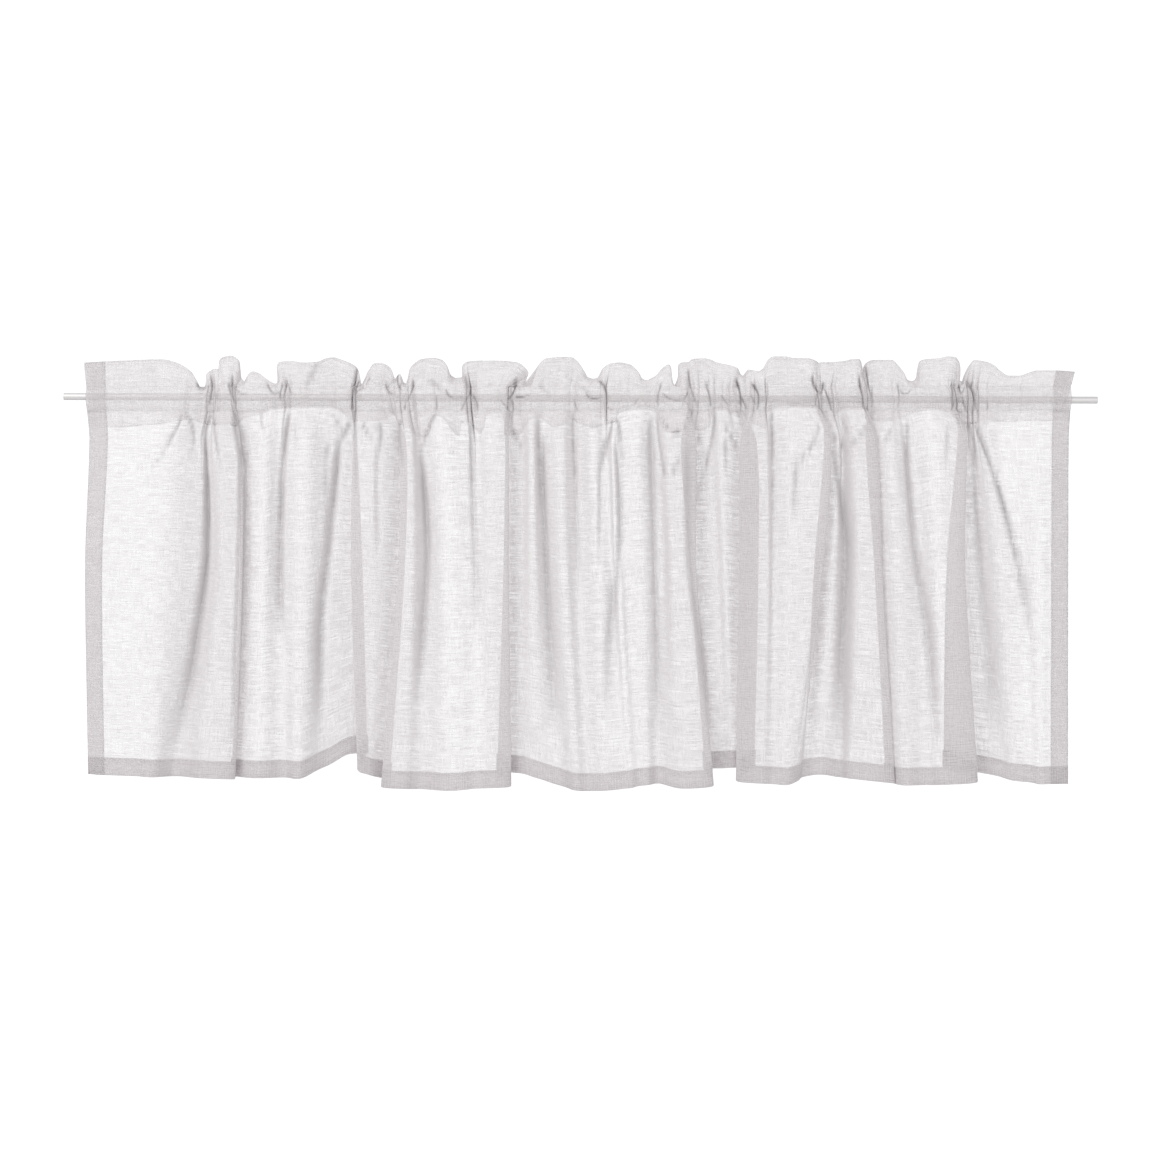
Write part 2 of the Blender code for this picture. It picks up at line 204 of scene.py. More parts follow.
RUFFLES: tuple[Ruffle, ...] = (
    Ruffle(-593, -596, 1, 43),
    Ruffle(-573, -574, -2, 44),
    Ruffle(-540, -540, -7, 45),
    Ruffle(-505, -501, -9, 46),
    Ruffle(-490, -486, -8, 43),
    Ruffle(-472, -468, -6, 33),
    Ruffle(-462, -461, -1, 22),
    Ruffle(-457, -456, 4, 12),
    Ruffle(-453, -453, 5, 11),
    Ruffle(-449, -450, 2, 19),
    Ruffle(-446, -449, -1, 28),
    Ruffle(-441, -443, -4, 33),
    Ruffle(-437, -438, -6, 35),
    Ruffle(-434, -433, -6, 34),
    Ruffle(-432, -432, -8, 44),
    Ruffle(-428, -429, -9, 48),
    Ruffle(-422, -418, -11, 50),
    Ruffle(-417, -410, -10, 46),
    Ruffle(-415, -408, -7, 40),
    Ruffle(-413, -408, 2, 26),
    Ruffle(-410, -404, 5, 20),
    Ruffle(-403, -400, 0, 27),
    Ruffle(-396, -393, -4, 32),
    Ruffle(-388, -386, -5, 30),
    Ruffle(-379, -378, -2, 24),
    Ruffle(-371, -370, 3, 19),
    Ruffle(-366, -366, 5, 18),
    Ruffle(-362, -364, 3, 24),
    Ruffle(-359, -364, -3, 36),
    Ruffle(-355, -361, -5, 43),
    Ruffle(-347, -350, -7, 44),
    Ruffle(-330, -329, -9, 42),
    Ruffle(-314, -314, -10, 43),
    Ruffle(-304, -304, -11, 47),
    Ruffle(-295, -296, -11, 48),
    Ruffle(-285, -282, -9, 44),
    Ruffle(-277, -270, -6, 38),
    Ruffle(-274, -266, -3, 31),
    Ruffle(-271, -264, 3, 19),
    Ruffle(-267, -262, 7, 13),
    Ruffle(-262, -259, 2, 24),
    Ruffle(-256, -253, -6, 34),
    Ruffle(-248, -246, -10, 41),
    Ruffle(-242, -238, -11, 41),
    Ruffle(-236, -228, -8, 36),
    Ruffle(-232, -224, -3, 26),
    Ruffle(-229, -222, 2, 20),
    Ruffle(-226, -220, -1, 27),
    Ruffle(-222, -217, -4, 29),
    Ruffle(-218, -215, -2, 26),
    Ruffle(-215, -213, 3, 20),
    Ruffle(-210, -210, 5, 18),
    Ruffle(-207, -207, 1, 26),
    Ruffle(-204, -205, -4, 34),
    Ruffle(-200, -200, -8, 40),
    Ruffle(-192, -190, -11, 46),
    Ruffle(-178, -176, -13, 47),
    Ruffle(-168, -166, -11, 45),
    Ruffle(-161, -160, -8, 38),
    Ruffle(-157, -156, -1, 28),
    Ruffle(-152, -151, 5, 25),
    Ruffle(-145, -143, 6, 26),
    Ruffle(-141, -140, 0, 27),
    Ruffle(-139, -142, -4, 34),
    Ruffle(-136, -141, -7, 39),
    Ruffle(-130, -135, -10, 43),
    Ruffle(-120, -122, -12, 44),
    Ruffle(-104, -98, -12, 44),
    Ruffle(-94, -76, -11, 42),
    Ruffle(-90, -66, -7, 35),
    Ruffle(-88, -63, -2, 30),
    Ruffle(-85, -66, 3, 21),
    Ruffle(-80, -62, 6, 14),
    Ruffle(-74, -58, 3, 19),
    Ruffle(-70, -53, -3, 34),
    Ruffle(-64, -48, -8, 42),
    Ruffle(-55, -40, -12, 47),
    Ruffle(-38, -24, -14, 48),
    Ruffle(-20, -12, -14, 48),
    Ruffle(-10, -4, -11, 43),
    Ruffle(-4, 4, -6, 32),
    Ruffle(3, 8, 1, 26),
    Ruffle(9, 14, 5, 24),
    Ruffle(17, 20, 4, 25),
    Ruffle(24, 27, -4, 36),
    Ruffle(31, 36, -8, 41),
    Ruffle(44, 46, -10, 42),
    Ruffle(56, 58, -9, 40),
    Ruffle(66, 68, -6, 32),
    Ruffle(74, 75, 1, 23),
    Ruffle(79, 80, 4, 22),
    Ruffle(86, 90, -2, 27),
    Ruffle(92, 98, -5, 36),
    Ruffle(100, 105, -6, 40),
    Ruffle(106, 108, -4, 36),
    Ruffle(112, 110, 1, 20),
    Ruffle(117, 113, 6, 15),
    Ruffle(122, 117, 1, 28),
    Ruffle(125, 117, -3, 38),
    Ruffle(129, 120, -6, 42),
    Ruffle(134, 129, -8, 43),
    Ruffle(139, 133, -9, 46),
    Ruffle(146, 145, -11, 47),
    Ruffle(155, 153, -11, 46),
    Ruffle(164, 163, -9, 42),
    Ruffle(174, 178, -8, 39),
    Ruffle(182, 187, -6, 36),
    Ruffle(189, 192, 1, 29),
    Ruffle(194, 195, 3, 27),
    Ruffle(198, 197, -2, 30),
    Ruffle(203, 201, -5, 34),
    Ruffle(209, 208, -4, 33),
    Ruffle(215, 214, -3, 32),
    Ruffle(220, 219, -6, 36),
    Ruffle(224, 223, -9, 44),
    Ruffle(230, 230, -12, 49),
    Ruffle(243, 243, -13, 49),
    Ruffle(256, 256, -12, 47),
    Ruffle(270, 270, -12, 47),
    Ruffle(280, 279, -9, 45),
    Ruffle(286, 285, -4, 42),
    Ruffle(291, 289, -3, 43),
    Ruffle(300, 304, -8, 43),
    Ruffle(314, 316, -10, 44),
    Ruffle(324, 326, -11, 46),
    Ruffle(330, 332, -10, 46),
    Ruffle(335, 335, -7, 43),
    Ruffle(338, 337, -3, 37),
    Ruffle(341, 338, 3, 26),
    Ruffle(343, 339, 0, 36),
    Ruffle(346, 342, -5, 42),
    Ruffle(352, 349, -9, 45),
    Ruffle(362, 360, -11, 45),
    Ruffle(374, 371, -11, 45),
    Ruffle(382, 378, -9, 40),
    Ruffle(389, 387, -5, 30),
    Ruffle(396, 393, 2, 22),
    Ruffle(402, 399, 5, 21),
    Ruffle(407, 403, 3, 25),
    Ruffle(410, 404, -2, 36),
    Ruffle(413, 406, -6, 44),
    Ruffle(419, 414, -9, 46),
    Ruffle(430, 428, -12, 47),
    Ruffle(440, 439, -13, 49),
    Ruffle(445, 447, -12, 48),
    Ruffle(449, 452, -8, 43),
    Ruffle(451, 455, -2, 34),
    Ruffle(453, 456, 6, 22),
    Ruffle(458, 459, 6, 21),
    Ruffle(461, 462, 0, 32),
    Ruffle(464, 466, -5, 40),
    Ruffle(469, 471, -8, 45),
    Ruffle(480, 484, -9, 43),
    Ruffle(489, 493, -7, 40),
    Ruffle(498, 503, -5, 32),
    Ruffle(508, 513, -3, 27),
    Ruffle(520, 526, -2, 27),
    Ruffle(532, 538, -4, 31),
    Ruffle(543, 547, -5, 33),
    Ruffle(566, 569, -4, 33),
    Ruffle(588, 593, 1, 32),
)

TUCKS: tuple[Crease, ...] = (
    Crease(-461, 17, -455, 9, -449, 13, 2.0, 2.6),
    Crease(-444, 26, -442, 8, -445, -10, 2.0, 2.8),
    Crease(-438, 6, -436, -3, -438, -17, 1.6, 1.8),
    Crease(-417, 25, -417, 6, -414, -7, 2.0, 3.2),
    Crease(-423, 16, -420, 8, -418, 1, 1.6, 2.0),
    Crease(-414, 10, -406, 4, -399, 5, 2.0, 1.6),
    Crease(-376, 17, -368, 5, -358, 9, 2.0, 2.6),
    Crease(-357, 18, -360, 2, -357, -6, 1.8, 2.6),
    Crease(-352, 21, -354, 8, -356, -5, 1.6, 2.4),
    Crease(-353, 19, -349, 10, -345, 2, 1.6, 2.0),
    Crease(-267, 38, -272, 8, -275, -24, 2.2, 3.6),
    Crease(-266, 20, -269, 12, -271, 3, 1.6, 2.6),
    Crease(-271, 2, -266, 8, -256, 12, 1.8, 2.4),
    Crease(-252, 24, -255, 19, -258, 14, 1.8, 1.8),
    Crease(-234, 18, -230, 7, -220, 3, 1.8, 2.6),
    Crease(-219, 28, -219, 17, -213, 8, 1.8, 2.6),
    Crease(-201, 21, -202, 8, -208, -6, 1.8, 2.8),
    Crease(-209, -6, -210, -20, -208, -34, 1.8, 2.2),
    Crease(-173, 2, -172, -8, -173, -18, 2.0, 2.2),
    Crease(-161, 10, -154, 0, -138, 2, 2.0, 3.0),
    Crease(-133, 16, -132, 6, -138, -3, 1.8, 2.6),
    Crease(-136, 8, -126, -2, -123, -17, 1.8, 2.4),
    Crease(-134, 0, -143, -16, -148, -38, 1.8, 1.8),
    Crease(-138, 26, -136, 16, -134, 8, 1.8, 2.0),
    Crease(-78, 24, -80, 8, -88, -3, 2.2, 3.6),
    Crease(-78, 1, -70, 1, -60, 4, 1.8, 3.0),
    Crease(-95, -5, -90, -10, -86, -15, 1.8, 2.4),
    Crease(-82, -2, -81, -16, -84, -36, 1.8, 2.4),
    Crease(-8, -2, -6, -9, -4, -17, 1.8, 2.0),
    Crease(6, 6, 14, -1, 27, 2, 2.0, 3.0),
    Crease(21, 20, 29, 12, 32, -10, 2.0, 3.4),
    Crease(32, -10, 37, -14, 46, -16, 2.0, 1.8),
    Crease(64, -8, 67, -4, 70, 0, 1.8, 1.4),
    Crease(97, 18, 93, 4, 93, -12, 1.8, 2.2),
    Crease(98, 6, 108, -1, 122, -3, 2.0, 2.6),
    Crease(128, 8, 126, 2, 122, -4, 1.6, 2.6),
    Crease(129, 34, 132, 14, 141, -12, 2.0, 3.0),
    Crease(150, 20, 155, -1, 156, -12, 1.8, 2.8),
    Crease(168, 4, 172, -2, 178, -10, 1.8, 2.2),
    Crease(186, 24, 191, 6, 192, -16, 2.6, 3.6),
    Crease(193, 2, 196, -6, 200, -14, 1.8, 2.6),
    Crease(204, 18, 212, 4, 210, -18, 2.4, 3.6),
    Crease(203, 4, 206, -2, 210, -10, 1.8, 2.4),
    Crease(224, 19, 223, 0, 220, -14, 1.8, 2.0),
    Crease(277, 28, 280, 14, 287, 6, 2.2, 3.2),
    Crease(291, 20, 290, 12, 287, 6, 2.0, 3.0),
    Crease(282, 6, 281, -4, 281, -16, 1.6, 2.0),
    Crease(292, 14, 298, -5, 304, -24, 2.0, 3.0),
    Crease(296, 6, 300, -8, 303, -24, 1.6, 1.8),
    Crease(333, 28, 336, 6, 339, -16, 2.2, 3.0),
    Crease(341, 40, 345, 18, 348, 4, 2.0, 3.4),
    Crease(342, -10, 345, -18, 347, -24, 1.8, 2.6),
    Crease(350, 14, 349, 4, 350, -16, 1.8, 2.4),
    Crease(380, 18, 381, 4, 379, -14, 2.0, 1.8),
    Crease(382, 12, 389, 6, 397, 14, 2.0, 2.4),
    Crease(444, 22, 444, 8, 444, -7, 1.8, 2.8),
    Crease(446, 1, 444, -12, 440, -25, 1.8, 2.2),
    Crease(451, 2, 451, -12, 448, -28, 1.8, 2.4),
    Crease(454, 20, 456, 8, 461, 16, 2.0, 3.2),
    Crease(457, 4, 460, -8, 466, -19, 1.8, 2.2),
    Crease(462, 22, 470, 4, 472, -19, 2.0, 3.0),
    Crease(466, 20, 470, 10, 474, -2, 1.6, 2.0),
    Crease(486, -1, 487, -9, 488, -19, 1.8, 1.8),
    Crease(-314, 40, -322, 26, -330, 10, 6.0, 0.8),
    Crease(-180, 20, -172, 14, -166, 6, 5.0, 0.8),
    Crease(-50, 16, -42, 8, -36, 0, 5.0, 0.8),
    Crease(0, 14, 8, 8, 14, 0, 5.0, 0.8),
)

CREASES: tuple[Crease, ...] = (
    Crease(-479, -20, -488, -46, -521, -100, 3, 3.6),
    Crease(-475, -20, -466, -36, -465, -62, 4, 3.0),
    Crease(-444, -22, -452, -48, -449, -78, 4, 3.6),
    Crease(-449, -78, -449, -180, -461, -264, 5, 3.4),
    Crease(-438, -24, -438, -48, -430, -78, 3, 3.0),
    Crease(-416, -19, -411, -48, -403, -86, 4.5, 3.8),
    Crease(-382, -17, -382, -32, -376, -46, 3, 2.0),
    Crease(-350, -19, -354, -46, -358, -84, 4, 3.4),
    Crease(-358, -84, -360, -190, -358, -290, 7, 2.6),
    Crease(-344, -34, -342, -46, -340, -57, 3, 1.4),
    Crease(-298, -22, -291, -31, -284, -41, 3, 2.4),
    Crease(-277, -29, -284, -42, -291, -55, 5, 3.2),
    Crease(-291, -55, -294, -90, -297, -140, 4, 2.8),
    Crease(-302, -56, -306, -90, -304, -200, 6, 2.0),
    Crease(-271, -16, -270, -54, -268, -110, 3, 3.0),
    Crease(-262, -30, -256, -40, -250, -50, 3, 2.6),
    Crease(-241, -30, -239, -48, -245, -84, 4, 2.6),
    Crease(-215, -26, -216, -48, -211, -84, 4, 2.6),
    Crease(-172, -18, -182, -36, -191, -62, 4, 3.0),
    Crease(-191, -62, -188, -120, -184, -200, 5, 2.4),
    Crease(-131, -28, -131, -70, -127, -160, 5, 2.6),
    Crease(-82, -36, -75, -52, -66, -62, 3, 2.4),
    Crease(-50, -24, -50, -70, -46, -160, 5, 2.4),
    Crease(-8, -17, -9, -50, -4, -120, 4, 3.0),
    Crease(38, -24, 34, -48, 25, -84, 3, 2.8),
    Crease(40, -26, 49, -52, 50, -140, 3, 2.8),
    Crease(85, -22, 83, -70, 88, -160, 6, 2.2),
    Crease(93, -16, 94, -48, 101, -84, 3, 2.8),
    Crease(96, -70, 106, -92, 122, -62, 4, 2.6),
    Crease(96, -20, 114, -40, 134, -20, 3, 2.4),
    Crease(158, -15, 158, -46, 139, -121, 4, 3.2),
    Crease(141, -48, 146, -44, 152, -40, 3, 1.6),
    Crease(172, -32, 181, -46, 190, -61, 3, 2.6),
    Crease(174, -48, 174, -66, 175, -90, 4, 2.0),
    Crease(230, -16, 230, -60, 231, -190, 4, 3.0),
    Crease(284, -30, 276, -56, 258, -76, 3, 3.0),
    Crease(258, -76, 256, -100, 255, -140, 6, 2.2),
    Crease(310, -18, 316, -30, 322, -44, 3, 1.8),
    Crease(302, -42, 311, -53, 320, -55, 2.5, 1.8),
    Crease(346, -27, 326, -52, 304, -62, 5, 2.2),
    Crease(302, -62, 307, -84, 319, -112, 3, 1.6),
    Crease(393, -26, 392, -52, 396, -120, 4, 2.2),
    Crease(374, -34, 368, -42, 362, -53, 4, 2.0),
    Crease(439, -36, 437, -50, 436, -80, 4, 2.0),
    Crease(461, -30, 470, -42, 473, -90, 4, 3.0),
    Crease(473, -90, 476, -140, 484, -200, 5, 2.4),
    Crease(472, -28, 482, -54, 494, -84, 3, 3.2),
    Crease(494, -84, 514, -150, 536, -250, 5, 3.0),
)

PLEATS: tuple[Pleat, ...] = (
    Pleat(-40, -451, -449, -463, -487, -430, 1.3, 8.5, 8.5),
    Pleat(-66, -405, -407, -411, -414, -440, 3.0, 1.8, 4.5),
    Pleat(-15, -352, -359, -361, -359, -300, 2.4, 5.5, 5.0),
    Pleat(-48, -290, -302, -313, -313, -410, 3.0, 7.0, 8.5),
    Pleat(-58, -243, -243, -242, -241, -200, 2.0, 4.0, 3.0),
    Pleat(-70, -191, -183, -188, -193, -370, 3.5, 6.5, 6.5),
    Pleat(-45, -130, -128, -125, -124, -290, 2.4, 5.0, 4.0),
    Pleat(-40, -47, -42, -35, -28, -410, 2.8, 6.5, 6.5),
    Pleat(-20, -6, -6, -4, -1, -230, 2.0, 4.0, 3.0),
    Pleat(-30, 38, 24, 24, 20, -215, 2.4, 4.0, 3.4),
    Pleat(-36, 41, 48, 37, 32, -390, 2.6, 7.5, 5.5),
    Pleat(-20, 86, 88, 92, 95, -410, 2.8, 5.5, 5.0),
    Pleat(-40, 128, 130, 144, 160, -425, 5.5, 3.2, 6.0),
    Pleat(-165, 285, 282, 272, 260, -430, 3.0, 1.6, 2.0),
    Pleat(-60, 303, 321, 316, 316, -430, 4.5, 7.5, 6.5),
    Pleat(-30, 388, 399, 418, 426, -420, 2.8, 7.5, 6.5),
    Pleat(-140, 475, 483, 492, 496, -400, 5.0, 10.0, 4.8),
    Pleat(-30, 473, 505, 529, 541, -300, 2.2, 4.6, 5.0),
)

PINCHES: tuple[Pinch, ...] = (
    Pinch(-474, 4, 1.2, 26),
    Pinch(-446, 4, 3.0, 45),
    Pinch(-436, 3, 2.6, 60),
    Pinch(-419, 8, 3.6, 40),
    Pinch(-353, 8, 2.6, 34),
    Pinch(-330, 3, 1.2, 18),
    Pinch(-272, 7, 3.6, 36),
    Pinch(-222, 11, 3.0, 30),
    Pinch(-204, 4, 2.8, 44),
    Pinch(-174, 3, 1.2, 22),
    Pinch(-132, 8, 3.2, 34),
    Pinch(-84, 8, 3.6, 40),
    Pinch(-8, 3, 1.4, 40),
    Pinch(28, 6, 2.4, 30),
    Pinch(92, 4, 1.4, 40),
    Pinch(132, 9, 3.4, 36),
    Pinch(154, 6, 3.0, 40),
    Pinch(176, 8, 3.0, 34),
    Pinch(191, 4, 2.0, 24),
    Pinch(208, 7, 3.0, 34),
    Pinch(223, 4, 1.6, 24),
    Pinch(284, 8, 3.4, 34),
    Pinch(299, 7, 3.2, 40),
    Pinch(341, 9, 3.8, 40),
    Pinch(378, 3, 1.2, 22),
    Pinch(448, 9, 3.8, 40),
    Pinch(471, 8, 3.2, 50),
    Pinch(488, 3, 1.4, 24),
)

TURNINGS: tuple[Turning, ...] = (
    Turning(-593, -35),
    Turning(-565, -35),
    Turning(-500, -31),
    Turning(-462, -26),
    Turning(-448, -30),
    Turning(-415, -34),
    Turning(-405, -24),
    Turning(-385, -19),
    Turning(-364, -13),
    Turning(-330, -11.5),
    Turning(-300, -11),
    Turning(-291, -15),
    Turning(-283, -22),
    Turning(-270, -28),
    Turning(-245, -27),
    Turning(-232, -20),
    Turning(-222, -32),
    Turning(-212, -35),
    Turning(-206, -46),
    Turning(-196, -47),
    Turning(-186, -38),
    Turning(-178, -21),
    Turning(-168, -24),
    Turning(-158, -40),
    Turning(-149, -46),
    Turning(-145, -30),
    Turning(-138, -28),
    Turning(-132, -35),
    Turning(-124, -42),
    Turning(-116, -34),
    Turning(-112, -20),
    Turning(-99, -18),
    Turning(-96, -28),
    Turning(-88, -44),
    Turning(-76, -44),
    Turning(-68, -32),
    Turning(-56, -24),
    Turning(-48, -23),
    Turning(-40, -26),
    Turning(-28, -35),
    Turning(-18, -32),
    Turning(-10, -25),
    Turning(-4, -30),
    Turning(16, -36),
    Turning(28, -32),
    Turning(42, -29),
    Turning(48, -18),
    Turning(60, -15),
    Turning(82, -14),
    Turning(93, -19),
    Turning(96, -33),
    Turning(108, -42),
    Turning(120, -40),
    Turning(128, -26),
    Turning(138, -34),
    Turning(146, -39),
    Turning(154, -34),
    Turning(158, -16),
    Turning(172, -15),
    Turning(182, -22),
    Turning(204, -26),
    Turning(212, -33),
    Turning(219, -38),
    Turning(224, -17),
    Turning(240, -12.5),
    Turning(262, -12),
    Turning(276, -13),
    Turning(286, -24),
    Turning(296, -30),
    Turning(305, -18),
    Turning(314, -14),
    Turning(334, -14),
    Turning(342, -24),
    Turning(352, -27),
    Turning(370, -28),
    Turning(385, -23),
    Turning(404, -16),
    Turning(424, -15),
    Turning(436, -19),
    Turning(446, -30),
    Turning(470, -31),
    Turning(486, -26),
    Turning(500, -28),
    Turning(588, -27),
)


def column(table: Sequence[NamedTuple], name: str) -> np.ndarray:
    """One named column of a table, in metres."""
    return np.array([getattr(row, name) for row in table], dtype=float) * MM


def hermite(
    start: np.ndarray, end: np.ndarray, leave: np.ndarray, arrive: np.ndarray, share: np.ndarray
) -> np.ndarray:
    """The cubic from start to end with the slopes leave and arrive.

    Args:
        start: Values at share 0.
        end: Values at share 1.
        leave: Slopes at share 0.
        arrive: Slopes at share 1.
        share: Where to read the cubic.

    Returns:
        The values at share.
    """
    square, cube = share**2, share**3
    return (
        start * (2 * cube - 3 * square + 1)
        + leave * (cube - 2 * square + share)
        + end * (3 * square - 2 * cube)
        + arrive * (cube - square)
    )


def even_curve(
    places: np.ndarray, values: np.ndarray, at: np.ndarray, sharp_dips: bool = False
) -> np.ndarray:
    """A curve through values that never overshoots them.

    Args:
        places: Rising places of the values.
        values: The values to pass through.
        at: Where to read the curve.
        sharp_dips: True to let the curve come to a point at its low values.

    Returns:
        The curve's values at the places asked for.
    """
    steps = np.diff(values) / np.diff(places)
    before, after = steps[:-1], steps[1:]
    same = before * after > 0
    total = np.where(same, before + after, 1.0)
    inner = np.where(same, 2 * before * after / total, 0.0)
    leave = np.concatenate([[steps[0]], inner, [steps[-1]]])
    arrive = leave.copy()
    if sharp_dips:
        dip = np.concatenate([[False], (before < 0) & (after > 0), [False]])
        leave[dip], arrive[dip] = steps[np.flatnonzero(dip)], steps[np.flatnonzero(dip) - 1]
    index = np.clip(np.searchsorted(places, at, side="right") - 1, 0, len(places) - 2)
    span = places[index + 1] - places[index]
    share = np.clip((at - places[index]) / span, 0, 1)
    return hermite(values[index], values[index + 1], leave[index] * span, arrive[index + 1] * span, share)


def level_normals(plan: np.ndarray) -> np.ndarray:
    """The level unit vectors square to a plan line that point away from the room.

    Args:
        plan: The plan line's points, one row each.

    Returns:
        One vector for each point.
    """
    run = np.gradient(plan, axis=0)
    run /= np.maximum(np.linalg.norm(run, axis=1), 1e-9)[:, None]
    return np.column_stack([-run[:, 1], run[:, 0]])


def rough(points: np.ndarray, size: float, octaves: int = 2, seed: float = 0.0) -> np.ndarray:
    """Smooth noise from -1 to 1 at each point.

    Args:
        points: Points in metres, one row each.
        size: The size of the noise's lumps, in metres.
        octaves: How many finer layers it has.
        seed: Moves the noise to another part of its field.

    Returns:
        One value for each point.
    """
    shift = Vector((seed, 0.7 * seed, 1.3 * seed))
    basis = "PERLIN_ORIGINAL"
    return np.array(
        [noise.fractal(Vector(p) / size + shift, 1.0, 2.0, octaves, noise_basis=basis) for p in points]
    )


class Ply(Enum):
    """The stretches of the linen strip, in the order in which they come along its length."""

    HEM_INSIDE = "the bottom hem's turned-in edge"
    HEM_BACK = "the bottom hem's back"
    SKIRT = "the skirt"
    POCKET_FRONT = "the pocket's front wall"
    HEADING_FRONT = "the heading's front"
    HEADING_BACK = "the heading's back"
    POCKET_BACK = "the pocket's back wall"
    TURNING_BACK = "the turned edge's back"
    TURNING_INSIDE = "the turned edge's inside"


# How much thread each ply shows beside the bare skirt. Where plies hang one behind another, light
# passes through all of them, so each of them shows less.
THREAD_SHARE: dict[Ply, float] = {
    Ply.HEM_INSIDE: 1.3,
    Ply.HEM_BACK: 1.3,
    Ply.SKIRT: 1.0,
    Ply.POCKET_FRONT: 0.75,
    Ply.HEADING_FRONT: 0.62,
    Ply.HEADING_BACK: 0.62,
    Ply.POCKET_BACK: 0.38,
    Ply.TURNING_BACK: 0.32,
    Ply.TURNING_INSIDE: 0.25,
}

# How much of its ply's thread the side hems' turned cloth shows, where it is a part of that ply.
HEM_SHARE: dict[Ply, float] = {
    Ply.HEM_INSIDE: 0.6,
    Ply.HEM_BACK: 0.6,
    Ply.SKIRT: 1.2,
    Ply.POCKET_FRONT: 0.4,
    Ply.HEADING_FRONT: 0.6,
    Ply.HEADING_BACK: 0.5,
    Ply.POCKET_BACK: 0.3,
    Ply.TURNING_BACK: 0.3,
    Ply.TURNING_INSIDE: 0.3,
}

# The length of cloth from row to row in each ply.
ROW_STEP: dict[Ply, float] = {
    Ply.HEM_INSIDE: 9.7 * MM,
    Ply.HEM_BACK: 7.5 * MM,
    Ply.SKIRT: 5.0 * MM,
    Ply.POCKET_FRONT: 2.2 * MM,
    Ply.HEADING_FRONT: 2.8 * MM,
    Ply.HEADING_BACK: 5.4 * MM,
    Ply.POCKET_BACK: 5.6 * MM,
    Ply.TURNING_BACK: 3.0 * MM,
    Ply.TURNING_INSIDE: 8.0 * MM,
}

# The hidden plies where the side hems' turned cloth is cut away, as in a bulky corner.
TRIMMED: tuple[Ply, ...] = (Ply.HEM_INSIDE, Ply.TURNING_BACK, Ply.TURNING_INSIDE)


